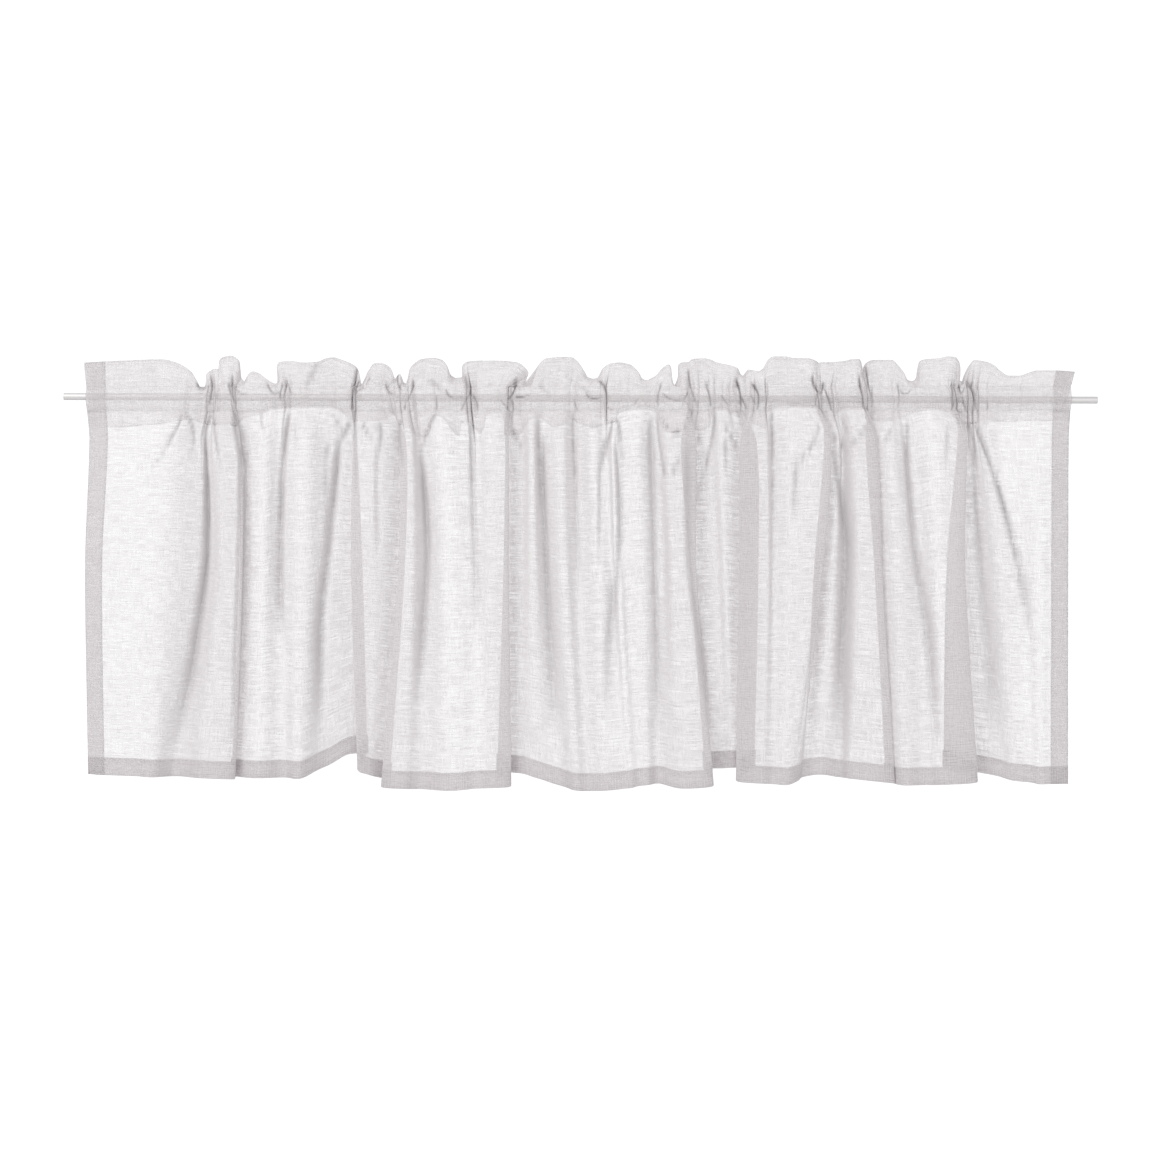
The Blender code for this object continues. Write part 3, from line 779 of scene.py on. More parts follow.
@dataclass
class GatheredCloth:
    """The valance: one strip of linen with doubled hems, a rod pocket and a ruffled heading.

    It is measured in columns along the cloth's width and rows along its length. Depths grow away from
    the room, so an offset is how far a ply lies behind the front one. The rows of the hem are heights
    above the bottom edge, the columns of the side hem are places from its edge, and the puffs are how
    far the heading stands open at its ends and halfway, all in millimetres.
    """

    rod_radius: float = 4.25 * MM
    rod_gap: float = 0.45 * MM
    lowest_stitch: float = -16 * MM
    highest_stitch: float = -9.5 * MM
    stitch_inset: float = 2.5 * MM
    upper_stitch: float = 14 * MM
    pocket_half: float = 5.4 * MM
    side_hem: float = 21.5 * MM
    hem_ply: float = 0.6 * MM
    hem_fold: float = 1.0 * MM
    side_ply: float = 0.2 * MM
    mid_level: float = 0.58
    top_level: float = 0.92
    stitch_depth: float = 0.45
    stitch_shift: float = 0.26
    upper_stitch_depth: float = 0.6
    turn: float = 0.62
    column_count: int = 1110
    open_wave: float = 14 * MM
    pinched_wave: float = 6.4 * MM
    open_crinkle: float = 0.35 * MM
    fullness_reach: float = 30 * MM
    seam_lift: float = 0.3 * MM
    slope: float = 0.0036
    full_pinch: float = 2.4 * MM
    sag: float = 0.75 * MM
    sag_size: float = 38 * MM
    dimple: float = 0.22 * MM
    dimple_size: float = 7 * MM
    lean_thread: float = 2.35
    most_thread: float = 5.0
    # Painted shade: how far the crease shade makes the thread cover more opaque, so that its dark colour
    # shows. The two strengths below are of the painted shade along creases and pleats in the skirt.
    painted_shade_thread: float = 4.0
    crease_shade: float = 0.5
    pleat_shade: float = 0.3
    end_puff: float = 0.5
    middle_puff: float = 1.4
    tall_heading: float = 44 * MM
    trial_columns: int = 60
    side_inner: tuple[float, ...] = (1.0, 8.0, 15.0, 20.8)
    side_outer: tuple[float, ...] = (21.5, 15.0, 8.0, 0.6)
    hem_inside_rows: tuple[float, ...] = (1.0, 10.5, 20.3)
    hem_back_rows: tuple[float, ...] = (21.3, 11.0, 0.8)
    low_rows: tuple[float, ...] = (0.8, 10.0, 19.6, 22.0, 25.0)
    skirt_rows: int = 34
    pocket_rows: int = 15
    heading_rows: int = 12
    places: np.ndarray = field(init=False, repr=False)
    rows: list[np.ndarray] = field(init=False, repr=False, default_factory=list)
    normals: list[np.ndarray] = field(init=False, repr=False, default_factory=list)
    lengths: list[float] = field(init=False, repr=False, default_factory=list)
    valley_shades: list[np.ndarray] = field(init=False, repr=False, default_factory=list)
    plies: list[Ply] = field(init=False, repr=False, default_factory=list)
    seams: list[np.ndarray] = field(init=False, repr=False, default_factory=list)

    def __post_init__(self) -> None:
        """Work out every column's place at each level, and how tightly it is gathered."""
        last = len(FOLDS) - 1
        self.set_lines(np.linspace(0, last, self.trial_columns * last))
        self.set_lines(self.spread_columns())
        self.set_crinkles()

    def set_lines(self, places: np.ndarray) -> None:
        """Work out the plan lines and heights of all levels for columns at these places.

        Args:
            places: Every column's place, counted in rows of FOLDS.
        """
        self.places = places
        rows_of = np.arange(len(FOLDS), dtype=float)
        self.rod_x = even_curve(rows_of, column(FOLDS, "rod"), places)
        self.top = self.plan_line("top")
        self.mid = self.plan_line("mid")
        self.hem = self.plan_line("hem")
        self.drop = even_curve(rows_of, column(FOLDS, "drop"), places)
        self.arc = self.lengths_along(self.mid)
        stitch_x = self.rod_x + (self.top[:, 0] - self.rod_x) * self.stitch_shift
        self.stitch = np.column_stack([stitch_x, self.top[:, 1] * self.stitch_depth])
        self.upper = np.column_stack([self.rod_x, self.stitch[:, 1] * self.upper_stitch_depth])
        rods = column(RUFFLES, "rod")
        self.head = np.column_stack(
            [even_curve(rods, column(RUFFLES, name), self.rod_x) for name in ("edge", "depth")]
        )
        self.head_height = even_curve(rods, column(RUFFLES, "height"), self.rod_x, sharp_dips=True)
        self.turning = even_curve(column(TURNINGS, "rod"), column(TURNINGS, "height"), self.rod_x)
        self.lower_stitch = np.clip(self.turning + self.stitch_inset, self.lowest_stitch, self.highest_stitch)

    @staticmethod
    def lengths_along(line: np.ndarray) -> np.ndarray:
        """The length of a line from its start to each of its points."""
        steps = np.linalg.norm(np.diff(line, axis=0), axis=1)
        return np.concatenate([[0.0], np.cumsum(steps)])

    def pinched(self, name: str) -> np.ndarray:
        """One column of PINCHES spread over the cloth, full in a pinch and nothing between pinches.

        Args:
            name: The name of the column.

        Returns:
            One value for each column of the cloth, in metres.
        """
        spread = np.zeros(len(self.rod_x))
        for pinch in PINCHES:
            away = (self.rod_x - pinch.rod * MM) / (pinch.half * MM)
            spread = np.maximum(spread, getattr(pinch, name) * MM * np.exp(-(np.abs(away) ** 2.6)))
        return spread

    def spread_columns(self) -> np.ndarray:
        """Every column's place, closer together in pinches and along steep edges of the heading.

        Returns:
            The places, counted in rows of FOLDS.
        """
        edge = np.column_stack([self.head, self.head_height])
        close = np.clip(self.pinched("depth") / self.full_pinch, 0, 1)
        for tuck in TUCKS:
            spots = (tuck.start_x, tuck.bend_x, tuck.end_x)
            near = (self.rod_x > (min(spots) - 2.5) * MM) & (self.rod_x < (max(spots) + 2.5) * MM)
            close[near & (tuck.width < 4)] = 1
        mid_step, hem_step, edge_step = 2.6, 2.8, 2.4
        apart, together = 4, 0.9
        needs = [
            np.diff(self.arc) / mid_step,
            np.diff(self.lengths_along(self.hem)) / hem_step,
            np.diff(self.lengths_along(edge)) / edge_step,
            np.diff(self.rod_x) * (1 / apart + close[1:] * (1 / together - 1 / apart)),
        ]
        need = np.concatenate([[0.0], np.cumsum(np.max(needs, axis=0))])
        spots = np.linspace(0, need[-1], self.column_count)
        return np.interp(spots, need, self.places)

    def plan_line(self, level: str) -> np.ndarray:
        """The plan line through all folds at one level, square to the rod where the cloth doubles back.

        Args:
            level: The name of a level in FOLDS: top, mid or hem.

        Returns:
            One plan point for each column.
        """
        points = np.column_stack([column(FOLDS, level), column(FOLDS, level + "_depth")])
        gaps = np.linalg.norm(np.diff(points, axis=0), axis=1)
        slopes = np.zeros_like(points)
        for i in range(1, len(points) - 1):
            arrive, leave = points[i] - points[i - 1], points[i + 1] - points[i]
            if arrive[0] > 0 > leave[0]:
                slopes[i] = (0, leave[1])
            elif arrive[0] < 0 < leave[0]:
                slopes[i] = (0, arrive[1])
            else:
                chord = arrive + leave
                slopes[i] = chord / max(np.linalg.norm(chord), MM) * min(gaps[i - 1], gaps[i])
        slopes[0], slopes[-1] = points[1] - points[0], points[-1] - points[-2]
        slopes *= 2 * self.turn
        index = np.minimum(self.places.astype(int), len(points) - 2)
        share = (self.places - index)[:, None]
        return hermite(points[index], points[index + 1], slopes[index], slopes[index + 1], share)

    def set_crinkles(self) -> None:
        """Work out the creases that take up the spare cloth, deep and close in pinches, with painted shade in
        their troughs.
        """
        along = np.column_stack([self.rod_x, np.zeros_like(self.rod_x), np.zeros_like(self.rod_x)])
        depth = self.pinched("depth")
        pinch = np.clip(depth / self.full_pinch, 0, 1)
        spacing = self.open_wave + (self.pinched_wave - self.open_wave) * pinch
        turns = np.concatenate([[0.0], np.cumsum(np.diff(self.rod_x) / spacing[1:])])
        phase = math.pi * (turns + 0.5 * rough(along, 17 * MM, seed=3.1))
        uneven = np.clip(0.75 + 1.3 * rough(along, 7 * MM, seed=12.4), 0.2, 1.3)
        self.size = 0.75 * depth * uneven + self.open_crinkle
        wave = self.creased(phase)
        self.crinkle = wave * self.size
        # Painted shade: the troughs of the pinched creases are darkened in the linen's colour, most where
        # they are deepest.
        self.valley_shade = ((wave + 1) / 2) ** 6 * np.clip(self.size / (2.2 * MM), 0, 1)
        self.crinkle_back = self.creased(phase + 0.7) * self.size
        self.crinkle_reach = 8 * MM + 0.65 * self.pinched("reach") * np.clip(uneven, 0.5, 1.3)

    @staticmethod
    def creased(phase: np.ndarray) -> np.ndarray:
        """A wave from -1 to 1, round towards the room and sharp away from it."""
        return 1 - 2 * np.abs(np.sin(phase)) ** 0.6

    def at_levels(self, share: np.ndarray) -> np.ndarray:
        """The skirt's plan line at a height.

        Args:
            share: Each column's height, 0 at the hem and 1 at the lower stitching.

        Returns:
            One plan point for each column.
        """
        levels = np.array([0.0, self.mid_level, self.top_level, 1.0])
        values = np.stack([self.hem, self.mid, self.top, self.stitch])
        slopes = np.empty_like(values)
        for i in range(len(levels)):
            before, after = max(i - 1, 0), min(i + 1, len(levels) - 1)
            slopes[i] = (values[after] - values[before]) / (levels[after] - levels[before])
        index = np.clip(np.searchsorted(levels, share, side="right") - 1, 0, len(levels) - 2)
        span = (levels[index + 1] - levels[index])[:, None]
        each = np.arange(len(share))
        inside = ((share - levels[index]) / span[:, 0])[:, None]
        return hermite(
            values[index, each],
            values[index + 1, each],
            slopes[index, each] * span,
            slopes[index + 1, each] * span,
            inside,
        )

    def add_row(
        self,
        plan: np.ndarray,
        heights: np.ndarray,
        offset: np.ndarray | float,
        step: float,
        gathered: np.ndarray | float = 1.0,
    ) -> None:
        """Add one row of the sheet.

        Args:
            plan: A plan point for each column.
            heights: A height for each column.
            offset: How far the row lies behind the plan line, for each column or for all.
            step: The length of cloth since the row before.
            gathered: How strongly the shade painted into the pinched creases' troughs shows in this row, from
                0 to 1.
        """
        # Painted shade of the pinched creases' troughs, kept for this row.
        self.valley_shades.append(self.valley_shade * gathered)
        normal = level_normals(plan)
        placed = plan + normal * np.reshape(offset, (-1, 1))
        heights = np.broadcast_to(heights, len(plan)) + self.slope * plan[:, 0]
        self.rows.append(np.column_stack([placed, heights]))
        self.normals.append(np.column_stack([normal, np.zeros(len(plan))]))
        self.lengths.append(step + (self.lengths[-1] if self.lengths else 0.0))

    def skirt_row(self, above_hem: np.ndarray, offset: float, step: float) -> None:
        """Add a row of the skirt, its hem or the turned edge behind it.

        Args:
            above_hem: Each column's height above the bottom edge.
            offset: How far the row lies behind the front ply.
            step: The length of cloth since the row before.
        """
        length = self.drop + self.lower_stitch
        share = above_hem / length
        heights = above_hem - self.drop
        below = np.clip(length - above_hem, 0, None)
        fade = np.exp(-((below / self.crinkle_reach) ** 1.5))
        self.add_row(self.at_levels(share), heights, offset + self.crinkle * fade, step, fade)

    def clear_of_rod(self, heights: np.ndarray) -> np.ndarray:
        """How far cloth at each height has to stay from the rod's axis, measured level."""
        return np.sqrt(np.maximum((self.rod_radius + self.rod_gap) ** 2 - heights**2, 0.0))

    def pocket_row(self, rise: float, back: bool, step: float, extra: float = 0.0) -> None:
        """Add a row of the pocket's front or back wall, which stays clear of the rod.

        Args:
            rise: The row's place, 0 at the lower stitching and 1 at the upper.
            back: True for the back wall.
            step: The length of cloth since the row before.
            extra: How much further from the rod the row lies.
        """
        heights = self.lower_stitch * (1 - rise) + self.upper_stitch * rise
        plan = self.stitch * (1 - rise) + self.upper * rise
        swell = self.pocket_half * math.sin(math.pi * rise) ** 0.8
        clear = self.clear_of_rod(heights)
        room = self.size * math.sin(math.pi * rise)
        if back:
            depth = np.maximum(plan[:, 1] + swell + room + self.crinkle_back, clear) + extra
        else:
            depth = np.minimum(plan[:, 1] - swell - room + self.crinkle, -clear) - extra
        self.add_row(np.column_stack([plan[:, 0], depth]), heights, 0.0, step)

    def heading_row(self, share: float, back: bool, step: float) -> None:
        """Add a row of the heading.

        Args:
            share: The row's place, 0 at the upper stitching and 1 at the top edge.
            back: True for the heading's back.
            step: The length of cloth since the row before.
        """
        plan = self.upper * (1 - share) + self.head * share
        heights = self.upper_stitch + (self.head_height - self.upper_stitch) * share
        fade = (1 - share) ** 1.5
        open_by = (self.end_puff + self.middle_puff * math.sin(math.pi * share)) * MM
        puff = open_by * np.clip(self.head_height / self.tall_heading, 0.3, 1.1)
        wave = self.crinkle_back if back else self.crinkle
        side = puff if back else -puff
        self.add_row(plan, heights, side + wave * fade, step, fade)

    def turned_row(self, share: float, offset: float) -> None:
        """Add a row of the edge turned into the pocket, where it hangs behind the skirt.

        Args:
            share: The row's place, 0 at the lower stitching and 1 at the edge's fold.
            offset: How far the row lies behind the front ply.
        """
        height = self.lower_stitch + (self.turning - self.lower_stitch) * share
        above = self.drop + self.lower_stitch - (self.lower_stitch - height)
        self.skirt_row(above, offset, ROW_STEP[Ply.TURNING_BACK])

    def mark(self, ply: Ply) -> None:
        """Note that all rows added since the last mark belong to this ply."""
        self.plies.extend([ply] * (len(self.rows) - len(self.plies)))

    def in_plies(self, *wanted: Ply) -> np.ndarray:
        """True for each row that belongs to one of these plies."""
        return np.array([ply in wanted for ply in self.plies])

    def build_rows(self) -> None:
        """Add every row of the strip, from the hem's raw edge to the pocket's turned edge."""
        flat = np.ones(len(self.places))
        for above in self.hem_inside_rows:
            self.skirt_row(flat * above * MM, self.hem_ply, ROW_STEP[Ply.HEM_INSIDE])
        self.mark(Ply.HEM_INSIDE)
        for above in self.hem_back_rows:
            self.skirt_row(flat * above * MM, 2 * self.hem_ply, ROW_STEP[Ply.HEM_BACK])
        self.skirt_row(flat * 0.0, self.hem_ply, self.hem_fold)
        self.mark(Ply.HEM_BACK)
        for above in self.low_rows:
            self.skirt_row(flat * above * MM, 0.0, ROW_STEP[Ply.SKIRT])
        shares = 1 - (1 - np.linspace(0, 1, self.skirt_rows)[1:]) ** 1.5
        last = self.low_rows[-1] * MM
        run = self.drop + self.lower_stitch - last
        for share, before in zip(shares, [0.0, *shares[:-1]]):
            self.skirt_row(last + run * share, 0.0, float((share - before) * run.mean()))
        self.mark(Ply.SKIRT)
        for rise in np.linspace(0, 1, self.pocket_rows)[1:-1]:
            self.pocket_row(float(rise), False, ROW_STEP[Ply.POCKET_FRONT])
        self.mark(Ply.POCKET_FRONT)
        for share in np.linspace(0, 1, self.heading_rows) ** 0.92:
            self.heading_row(float(share), False, ROW_STEP[Ply.HEADING_FRONT])
        self.mark(Ply.HEADING_FRONT)
        for share in np.linspace(1, 0, self.heading_rows // 2) ** 0.92:
            self.heading_row(float(share), True, ROW_STEP[Ply.HEADING_BACK])
        self.mark(Ply.HEADING_BACK)
        for rise in np.linspace(1, 0, self.pocket_rows // 2)[1:-1]:
            self.pocket_row(float(rise), True, ROW_STEP[Ply.POCKET_BACK], 0.8 * MM)
        self.mark(Ply.POCKET_BACK)
        for share in (0.0, 0.5, 1.0):
            self.turned_row(share, (0.9 + 0.5 * share) * MM)
        self.mark(Ply.TURNING_BACK)
        self.turned_row(0.85, 0.5 * MM)
        for rise in np.linspace(0, 1, self.pocket_rows // 3)[1:-1]:
            self.pocket_row(float(rise), True, ROW_STEP[Ply.TURNING_INSIDE], 0.35 * MM)
        self.mark(Ply.TURNING_INSIDE)

    def side_columns(self) -> tuple[np.ndarray, np.ndarray, np.ndarray]:
        """Which column each column of the sheet follows, with the side hems turned to the back.

        Returns:
            The followed columns, counted with fractions, each one's offset, and its place along the cut.
        """
        inner, outer = np.array(self.side_inner) * MM, np.array(self.side_outer) * MM
        width = self.arc[-1]
        numbers = np.arange(len(self.arc), dtype=float)

        def follow(arcs: np.ndarray) -> np.ndarray:
            """The columns at places along the cloth."""
            return np.interp(arcs, self.arc, numbers)

        left = [follow(inner), follow(outer)]
        right = [follow(width - outer[::-1]), follow(width - inner[::-1])]
        offsets = [np.full(len(inner), self.side_ply), np.full(len(outer), 2 * self.side_ply)]
        columns = np.concatenate([*left, numbers, *right])
        offset = np.concatenate([*offsets, np.zeros(len(numbers)), offsets[1], offsets[0]])
        turned = 2 * self.side_hem
        cut = np.concatenate(
            [inner - turned, -outer, self.arc, width + outer[::-1], width + turned - inner[::-1]]
        )
        return columns, offset, cut

    @staticmethod
    def pressed_in(points: np.ndarray, creases: Sequence[Crease]) -> tuple[np.ndarray, np.ndarray]:
        """How deep creases press each point away from the room, and how much painted shade they lay on it.

        Args:
            points: Rows by columns of points.
            creases: The creases.

        Returns:
            The depth in metres and the painted shade from 0 to 1, for each point.
        """
        spots_along, ends_lose, later_loses = 36, 0.8, 0.4
        depths, shades = np.zeros(points.shape[:2]), np.zeros(points.shape[:2])
        for crease in creases:
            start = np.array([crease.start_x, crease.start_z]) * MM
            end = np.array([crease.end_x, crease.end_z]) * MM
            bend = 2 * np.array([crease.bend_x, crease.bend_z]) * MM - (start + end) / 2
            nearest, along = np.full(points.shape[:2], 1.0), np.zeros(points.shape[:2])
            for share in np.linspace(0, 1, spots_along):
                spot = start * (1 - share) ** 2 + bend * 2 * share * (1 - share) + end * share**2
                gap = np.hypot(points[..., 0] - spot[0], points[..., 2] - spot[1])
                closer = gap < nearest
                nearest[closer], along[closer] = gap[closer], share
            reach = nearest / (0.85 * crease.width * MM)
            fade = (1 - np.abs(2 * along - 1) ** 5 * ends_lose) * (1 - later_loses * along)
            depths += crease.depth * MM * np.exp(-(reach**1.3)) * fade
            # Painted shade: a dark line along the crease's middle, stronger for deeper creases.
            shades = np.maximum(shades, np.exp(-((reach / 0.6) ** 2)) * fade * min(crease.depth / 3, 1.2))
        return depths, shades

    @staticmethod
    def pleated(points: np.ndarray) -> tuple[np.ndarray, np.ndarray]:
        """How deep the pleats press each point away from the room, and how much painted shade they lay on it.

        Args:
            points: Rows by columns of points.

        Returns:
            The depth in metres and the painted shade from 0 to 1, for each point.
        """
        upper_fade, lower_fade = 0.12, 0.35
        depths, shades = np.zeros(points.shape[:2]), np.zeros(points.shape[:2])
        for pleat in PLEATS:
            down = (pleat.upper_z * MM - points[..., 2]) / ((pleat.upper_z - pleat.lower_z) * MM)
            inside = np.clip(down, 0, 1)
            spots = np.array([pleat.first_x, pleat.second_x, pleat.third_x, pleat.fourth_x]) * MM
            centre = even_curve(np.linspace(0, 1, 4), spots, inside)
            width = pleat.upper_width + (pleat.lower_width - pleat.upper_width) * inside
            reach = np.abs(points[..., 0] - centre) / (width * MM)
            ends = np.minimum(inside / upper_fade, (1 - inside) / lower_fade)
            fade = np.sin(math.pi / 2 * np.clip(ends, 0, 1))
            depths += pleat.depth * MM * fade * np.exp(-(reach**1.7))
            # Painted shade: a soft dark band along the pleat, stronger for deeper pleats.
            shades = np.maximum(shades, min(pleat.depth / 8, 1.0) * fade * np.exp(-1.3 * reach**2))
        return depths, shades

    def fullness(self) -> np.ndarray:
        """How many times wider than the rod's stretch the cloth is about each column.

        Returns:
            One value for each column.
        """
        before = np.maximum(self.rod_x - self.fullness_reach, self.rod_x[0])
        after = np.minimum(self.rod_x + self.fullness_reach, self.rod_x[-1])
        spare = np.interp(after, self.rod_x, self.arc) - np.interp(before, self.rod_x, self.arc)
        return spare / (after - before)

    def add_relief(self, points: np.ndarray) -> np.ndarray:
        """Press the placed creases and a slight unevenness into the sheet.

        Args:
            points: The sheet's points, rows by columns, changed in place.

        Returns:
            How much painted shade the creases, pleats and tucks lay on each point, from 0 to 1.
        """
        shape = points.shape[:2]
        bare = self.in_plies(Ply.HEM_INSIDE, Ply.HEM_BACK, Ply.SKIRT)
        front = self.in_plies(Ply.POCKET_FRONT, Ply.HEADING_FRONT, Ply.HEADING_BACK)
        relief, shade = np.zeros(shape), np.zeros(shape)
        relief[bare], shade[bare] = self.pressed_in(points[bare], CREASES)
        pleat_relief, pleat_shade = self.pleated(points[bare])
        relief[bare] += pleat_relief
        # Painted shade in the skirt: creases and pleats each darken the linen at their own strength.
        shade[bare] = np.maximum(self.crease_shade * shade[bare], self.pleat_shade * pleat_shade)
        relief[front], shade[front] = self.pressed_in(points[front], TUCKS)
        flat = points.reshape(-1, 3)
        stretched = flat * np.array([1.0, 1.0, 0.45])
        relief += self.sag * rough(stretched, self.sag_size, 3, seed=1.7).reshape(shape) * bare[:, None]
        relief += self.dimple * rough(flat, self.dimple_size, 2, seed=5.2).reshape(shape) * bare[:, None]
        points[..., 1] += relief
        around = self.in_plies(Ply.POCKET_FRONT)
        clear = self.clear_of_rod(points[around][..., 2])
        points[around, :, 1] = np.minimum(points[around, :, 1], -clear)
        return shade

    def build(self) -> bpy.types.Object:
        """Make the sheet's mesh with its cut pattern as UV map, in metres.

        Returns:
            The cloth as a new object.
        """
        self.build_rows()
        columns, offset, cut = self.side_columns()
        low = np.minimum(columns.astype(int), len(self.arc) - 2)
        share = (columns - low)[:, None]
        grid, normals = [], []
        for row, normal in zip(self.rows, self.normals):
            place = row[low] * (1 - share) + row[low + 1] * share
            square = normal[low] * (1 - share) + normal[low + 1] * share
            grid.append(place + square * offset[:, None])
            normals.append(square)
        points, square = np.array(grid), np.array(normals)
        # Painted shade: creases, pleats, tucks and the troughs of pinched creases are darkened in the linen's
        # colour and made more opaque; the turned edge's plies get none.
        shade = np.maximum(self.add_relief(points), np.array(self.valley_shades)[:, low])
        shade[self.in_plies(Ply.TURNING_BACK, Ply.TURNING_INSIDE)] = 0
        cover = self.steepness(points) + self.painted_shade_thread * shade
        turned = offset > 0
        for row, ply in zip(cover, self.plies):
            row *= THREAD_SHARE[ply]
            row[turned] *= HEM_SHARE[ply]
        cover[self.in_plies(Ply.SKIRT)] *= np.clip(self.fullness()[low], 0.85, 1.5) ** 1.1
        self.note_seams(points - square * self.seam_lift)
        hidden = self.in_plies(*TRIMMED)
        trimmed = (hidden[:-1] & hidden[1:])[:, None] & (turned[:-1] | turned[1:])
        cloth = self.make_mesh(points, cut, ~trimmed, {"thread cover": cover, "crease shade": shade})
        self.dress(cloth)
        return cloth

    @staticmethod
    def dress(cloth: bpy.types.Object) -> None:
        """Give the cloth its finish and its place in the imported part.

        Args:
            cloth: The finished sheet.
        """
        cloth.data.materials.append(LinenFinish().build())
        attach(cloth, "root")
        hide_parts("valance")

    def note_seams(self, front: np.ndarray) -> None:
        """Note the lines along which the cloth is sewn.

        Args:
            front: Points just in front of the sheet's, rows by columns.
        """
        turned = len(self.side_inner) + len(self.side_outer)
        skirt, top = self.plies.index(Ply.SKIRT), self.plies.index(Ply.HEADING_BACK)
        whole = slice(turned, front.shape[1] - turned)
        for row in (skirt + 2, self.plies.index(Ply.POCKET_FRONT), self.plies.index(Ply.HEADING_FRONT)):
            self.seams.append(front[row, whole])
        side = turned + int(np.searchsorted(self.arc, self.side_hem - 1.5 * MM))
        for edge in (side, front.shape[1] - 1 - side):
            self.seams.append(front[skirt:top, edge])

    def steepness(self, points: np.ndarray) -> np.ndarray:
        """How many times more thread there is behind each patch as seen square to the window.

        Args:
            points: The sheet's points, rows by columns.

        Returns:
            One value for each point, from 1 where the cloth lies flat to most_thread.
        """
        square = np.cross(np.gradient(points, axis=0), np.gradient(points, axis=1))
        length = np.maximum(np.linalg.norm(square, axis=-1), 1e-12)
        lean = length / np.maximum(np.abs(square[..., 1]), 1e-12)
        return np.clip(1 + self.lean_thread * (lean - 1), 1, self.most_thread)

    def make_mesh(
        self, points: np.ndarray, cut: np.ndarray, kept: np.ndarray, looks: dict[str, np.ndarray]
    ) -> bpy.types.Object:
        """Join the rows with faces and lay the UV map on them.

        Args:
            points: The sheet's points, rows by columns.
            cut: Each column's place across the cut cloth.
            kept: True for each face that isn't trimmed away, rows by columns.
            looks: Values at each point for the finish, by name.

        Returns:
            The cloth as a new object.
        """
        rows, columns = points.shape[:2]
        numbers = np.arange(rows * columns).reshape(rows, columns)
        corners = [numbers[:-1, :-1], numbers[:-1, 1:], numbers[1:, 1:], numbers[1:, :-1]]
        used, order = np.unique(np.stack(corners, axis=-1)[kept], return_inverse=True)
        faces = order.reshape(-1, 4)
        mesh = bpy.data.meshes.new("linen_valance")
        mesh.from_pydata(points.reshape(-1, 3)[used].tolist(), [], faces.tolist())
        across, along = np.meshgrid(cut, np.array(self.lengths))
        flat = np.stack([across, along], axis=-1).reshape(-1, 2)[used]
        layer = mesh.uv_layers.new(name="cut pattern")
        layer.data.foreach_set("uv", flat[faces.reshape(-1)].astype(np.float32).reshape(-1))
        for name, values in looks.items():
            layer = mesh.attributes.new(name, "FLOAT", "POINT")
            layer.data.foreach_set("value", values.astype(np.float32).reshape(-1)[used])
        mesh.shade_smooth()
        cloth = bpy.data.objects.new("linen_valance", mesh)
        bpy.context.scene.collection.objects.link(cloth)
        return cloth

    def cut_size(self) -> tuple[float, float]:
        """The width and length that the cloth was cut to."""
        return float(self.arc[-1] + 4 * self.side_hem), float(self.lengths[-1] - self.lengths[0])


@dataclass
class Sewing:
    """Short machine stitches along the hems and both edges of the rod pocket."""

    seams: Sequence[np.ndarray]
    stitch: float = 2.5 * MM
    gap: float = 1.0 * MM
    thread_radius: float = 0.16 * MM

    def build(self) -> bpy.types.Object:
        """Lay a thread along each stitch and turn all of them into one mesh.

        Returns:
            The stitches as a new object.
        """
        curve = bpy.data.curves.new("stitches", "CURVE")
        curve.dimensions = "3D"
        curve.bevel_depth, curve.bevel_resolution, curve.use_fill_caps = self.thread_radius, 0, True
        for seam in self.seams:
            along = GatheredCloth.lengths_along(seam)
            for start in np.arange(self.gap, along[-1] - self.stitch, self.stitch + self.gap):
                spline = curve.splines.new("POLY")
                spline.points.add(1)
                for point, place in zip(spline.points, (start, start + self.stitch)):
                    point.co = (*(np.interp(place, along, seam[:, axis]) for axis in range(3)), 1.0)
        bpy.ops.object.select_all(action="DESELECT")
        stitches = bpy.data.objects.new("stitches", curve)
        bpy.context.scene.collection.objects.link(stitches)
        stitches.select_set(True)
        bpy.context.view_layer.objects.active = stitches
        bpy.ops.object.convert(target="MESH")
        stitches = bpy.context.active_object
        self.dress(stitches)
        return stitches

    @staticmethod
    def dress(stitches: bpy.types.Object) -> None:
        """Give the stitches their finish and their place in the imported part.

        Args:
            stitches: The finished stitches.
        """
        stitches.data.materials.append(ThreadFinish().build())
        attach(stitches, "root")


class Socket:
    """A value in a shader, with Python's operators as Math nodes."""

    def __init__(self, shader: ShaderSheet, link: bpy.types.NodeSocket | None) -> None:
        """Wrap a node's output, or none for a node that has no output."""
        self.shader = shader
        self.link = link

    def math(self, operation: str, *others: Socket | float) -> Socket:
        """This value and others through one Math node."""
        return self.shader.node("ShaderNodeMath", {"operation": operation}, self, *others)

    def __add__(self, other: Socket | float) -> Socket:
        """Sum."""
        return self.math("ADD", other)

    __radd__ = __add__

    def __sub__(self, other: Socket | float) -> Socket:
        """Difference."""
        return self.math("SUBTRACT", other)

    def __rsub__(self, other: float) -> Socket:
        """Difference from a number."""
        return self.shader.node("ShaderNodeMath", {"operation": "SUBTRACT"}, other, self)

    def __mul__(self, other: Socket | float) -> Socket:
        """Product."""
        return self.math("MULTIPLY", other)

    __rmul__ = __mul__

    def clamped(self, low: float = 0.0, high: float = 1.0) -> Socket:
        """The value held between two limits."""
        return self.shader.node("ShaderNodeClamp", {}, self, low, high)


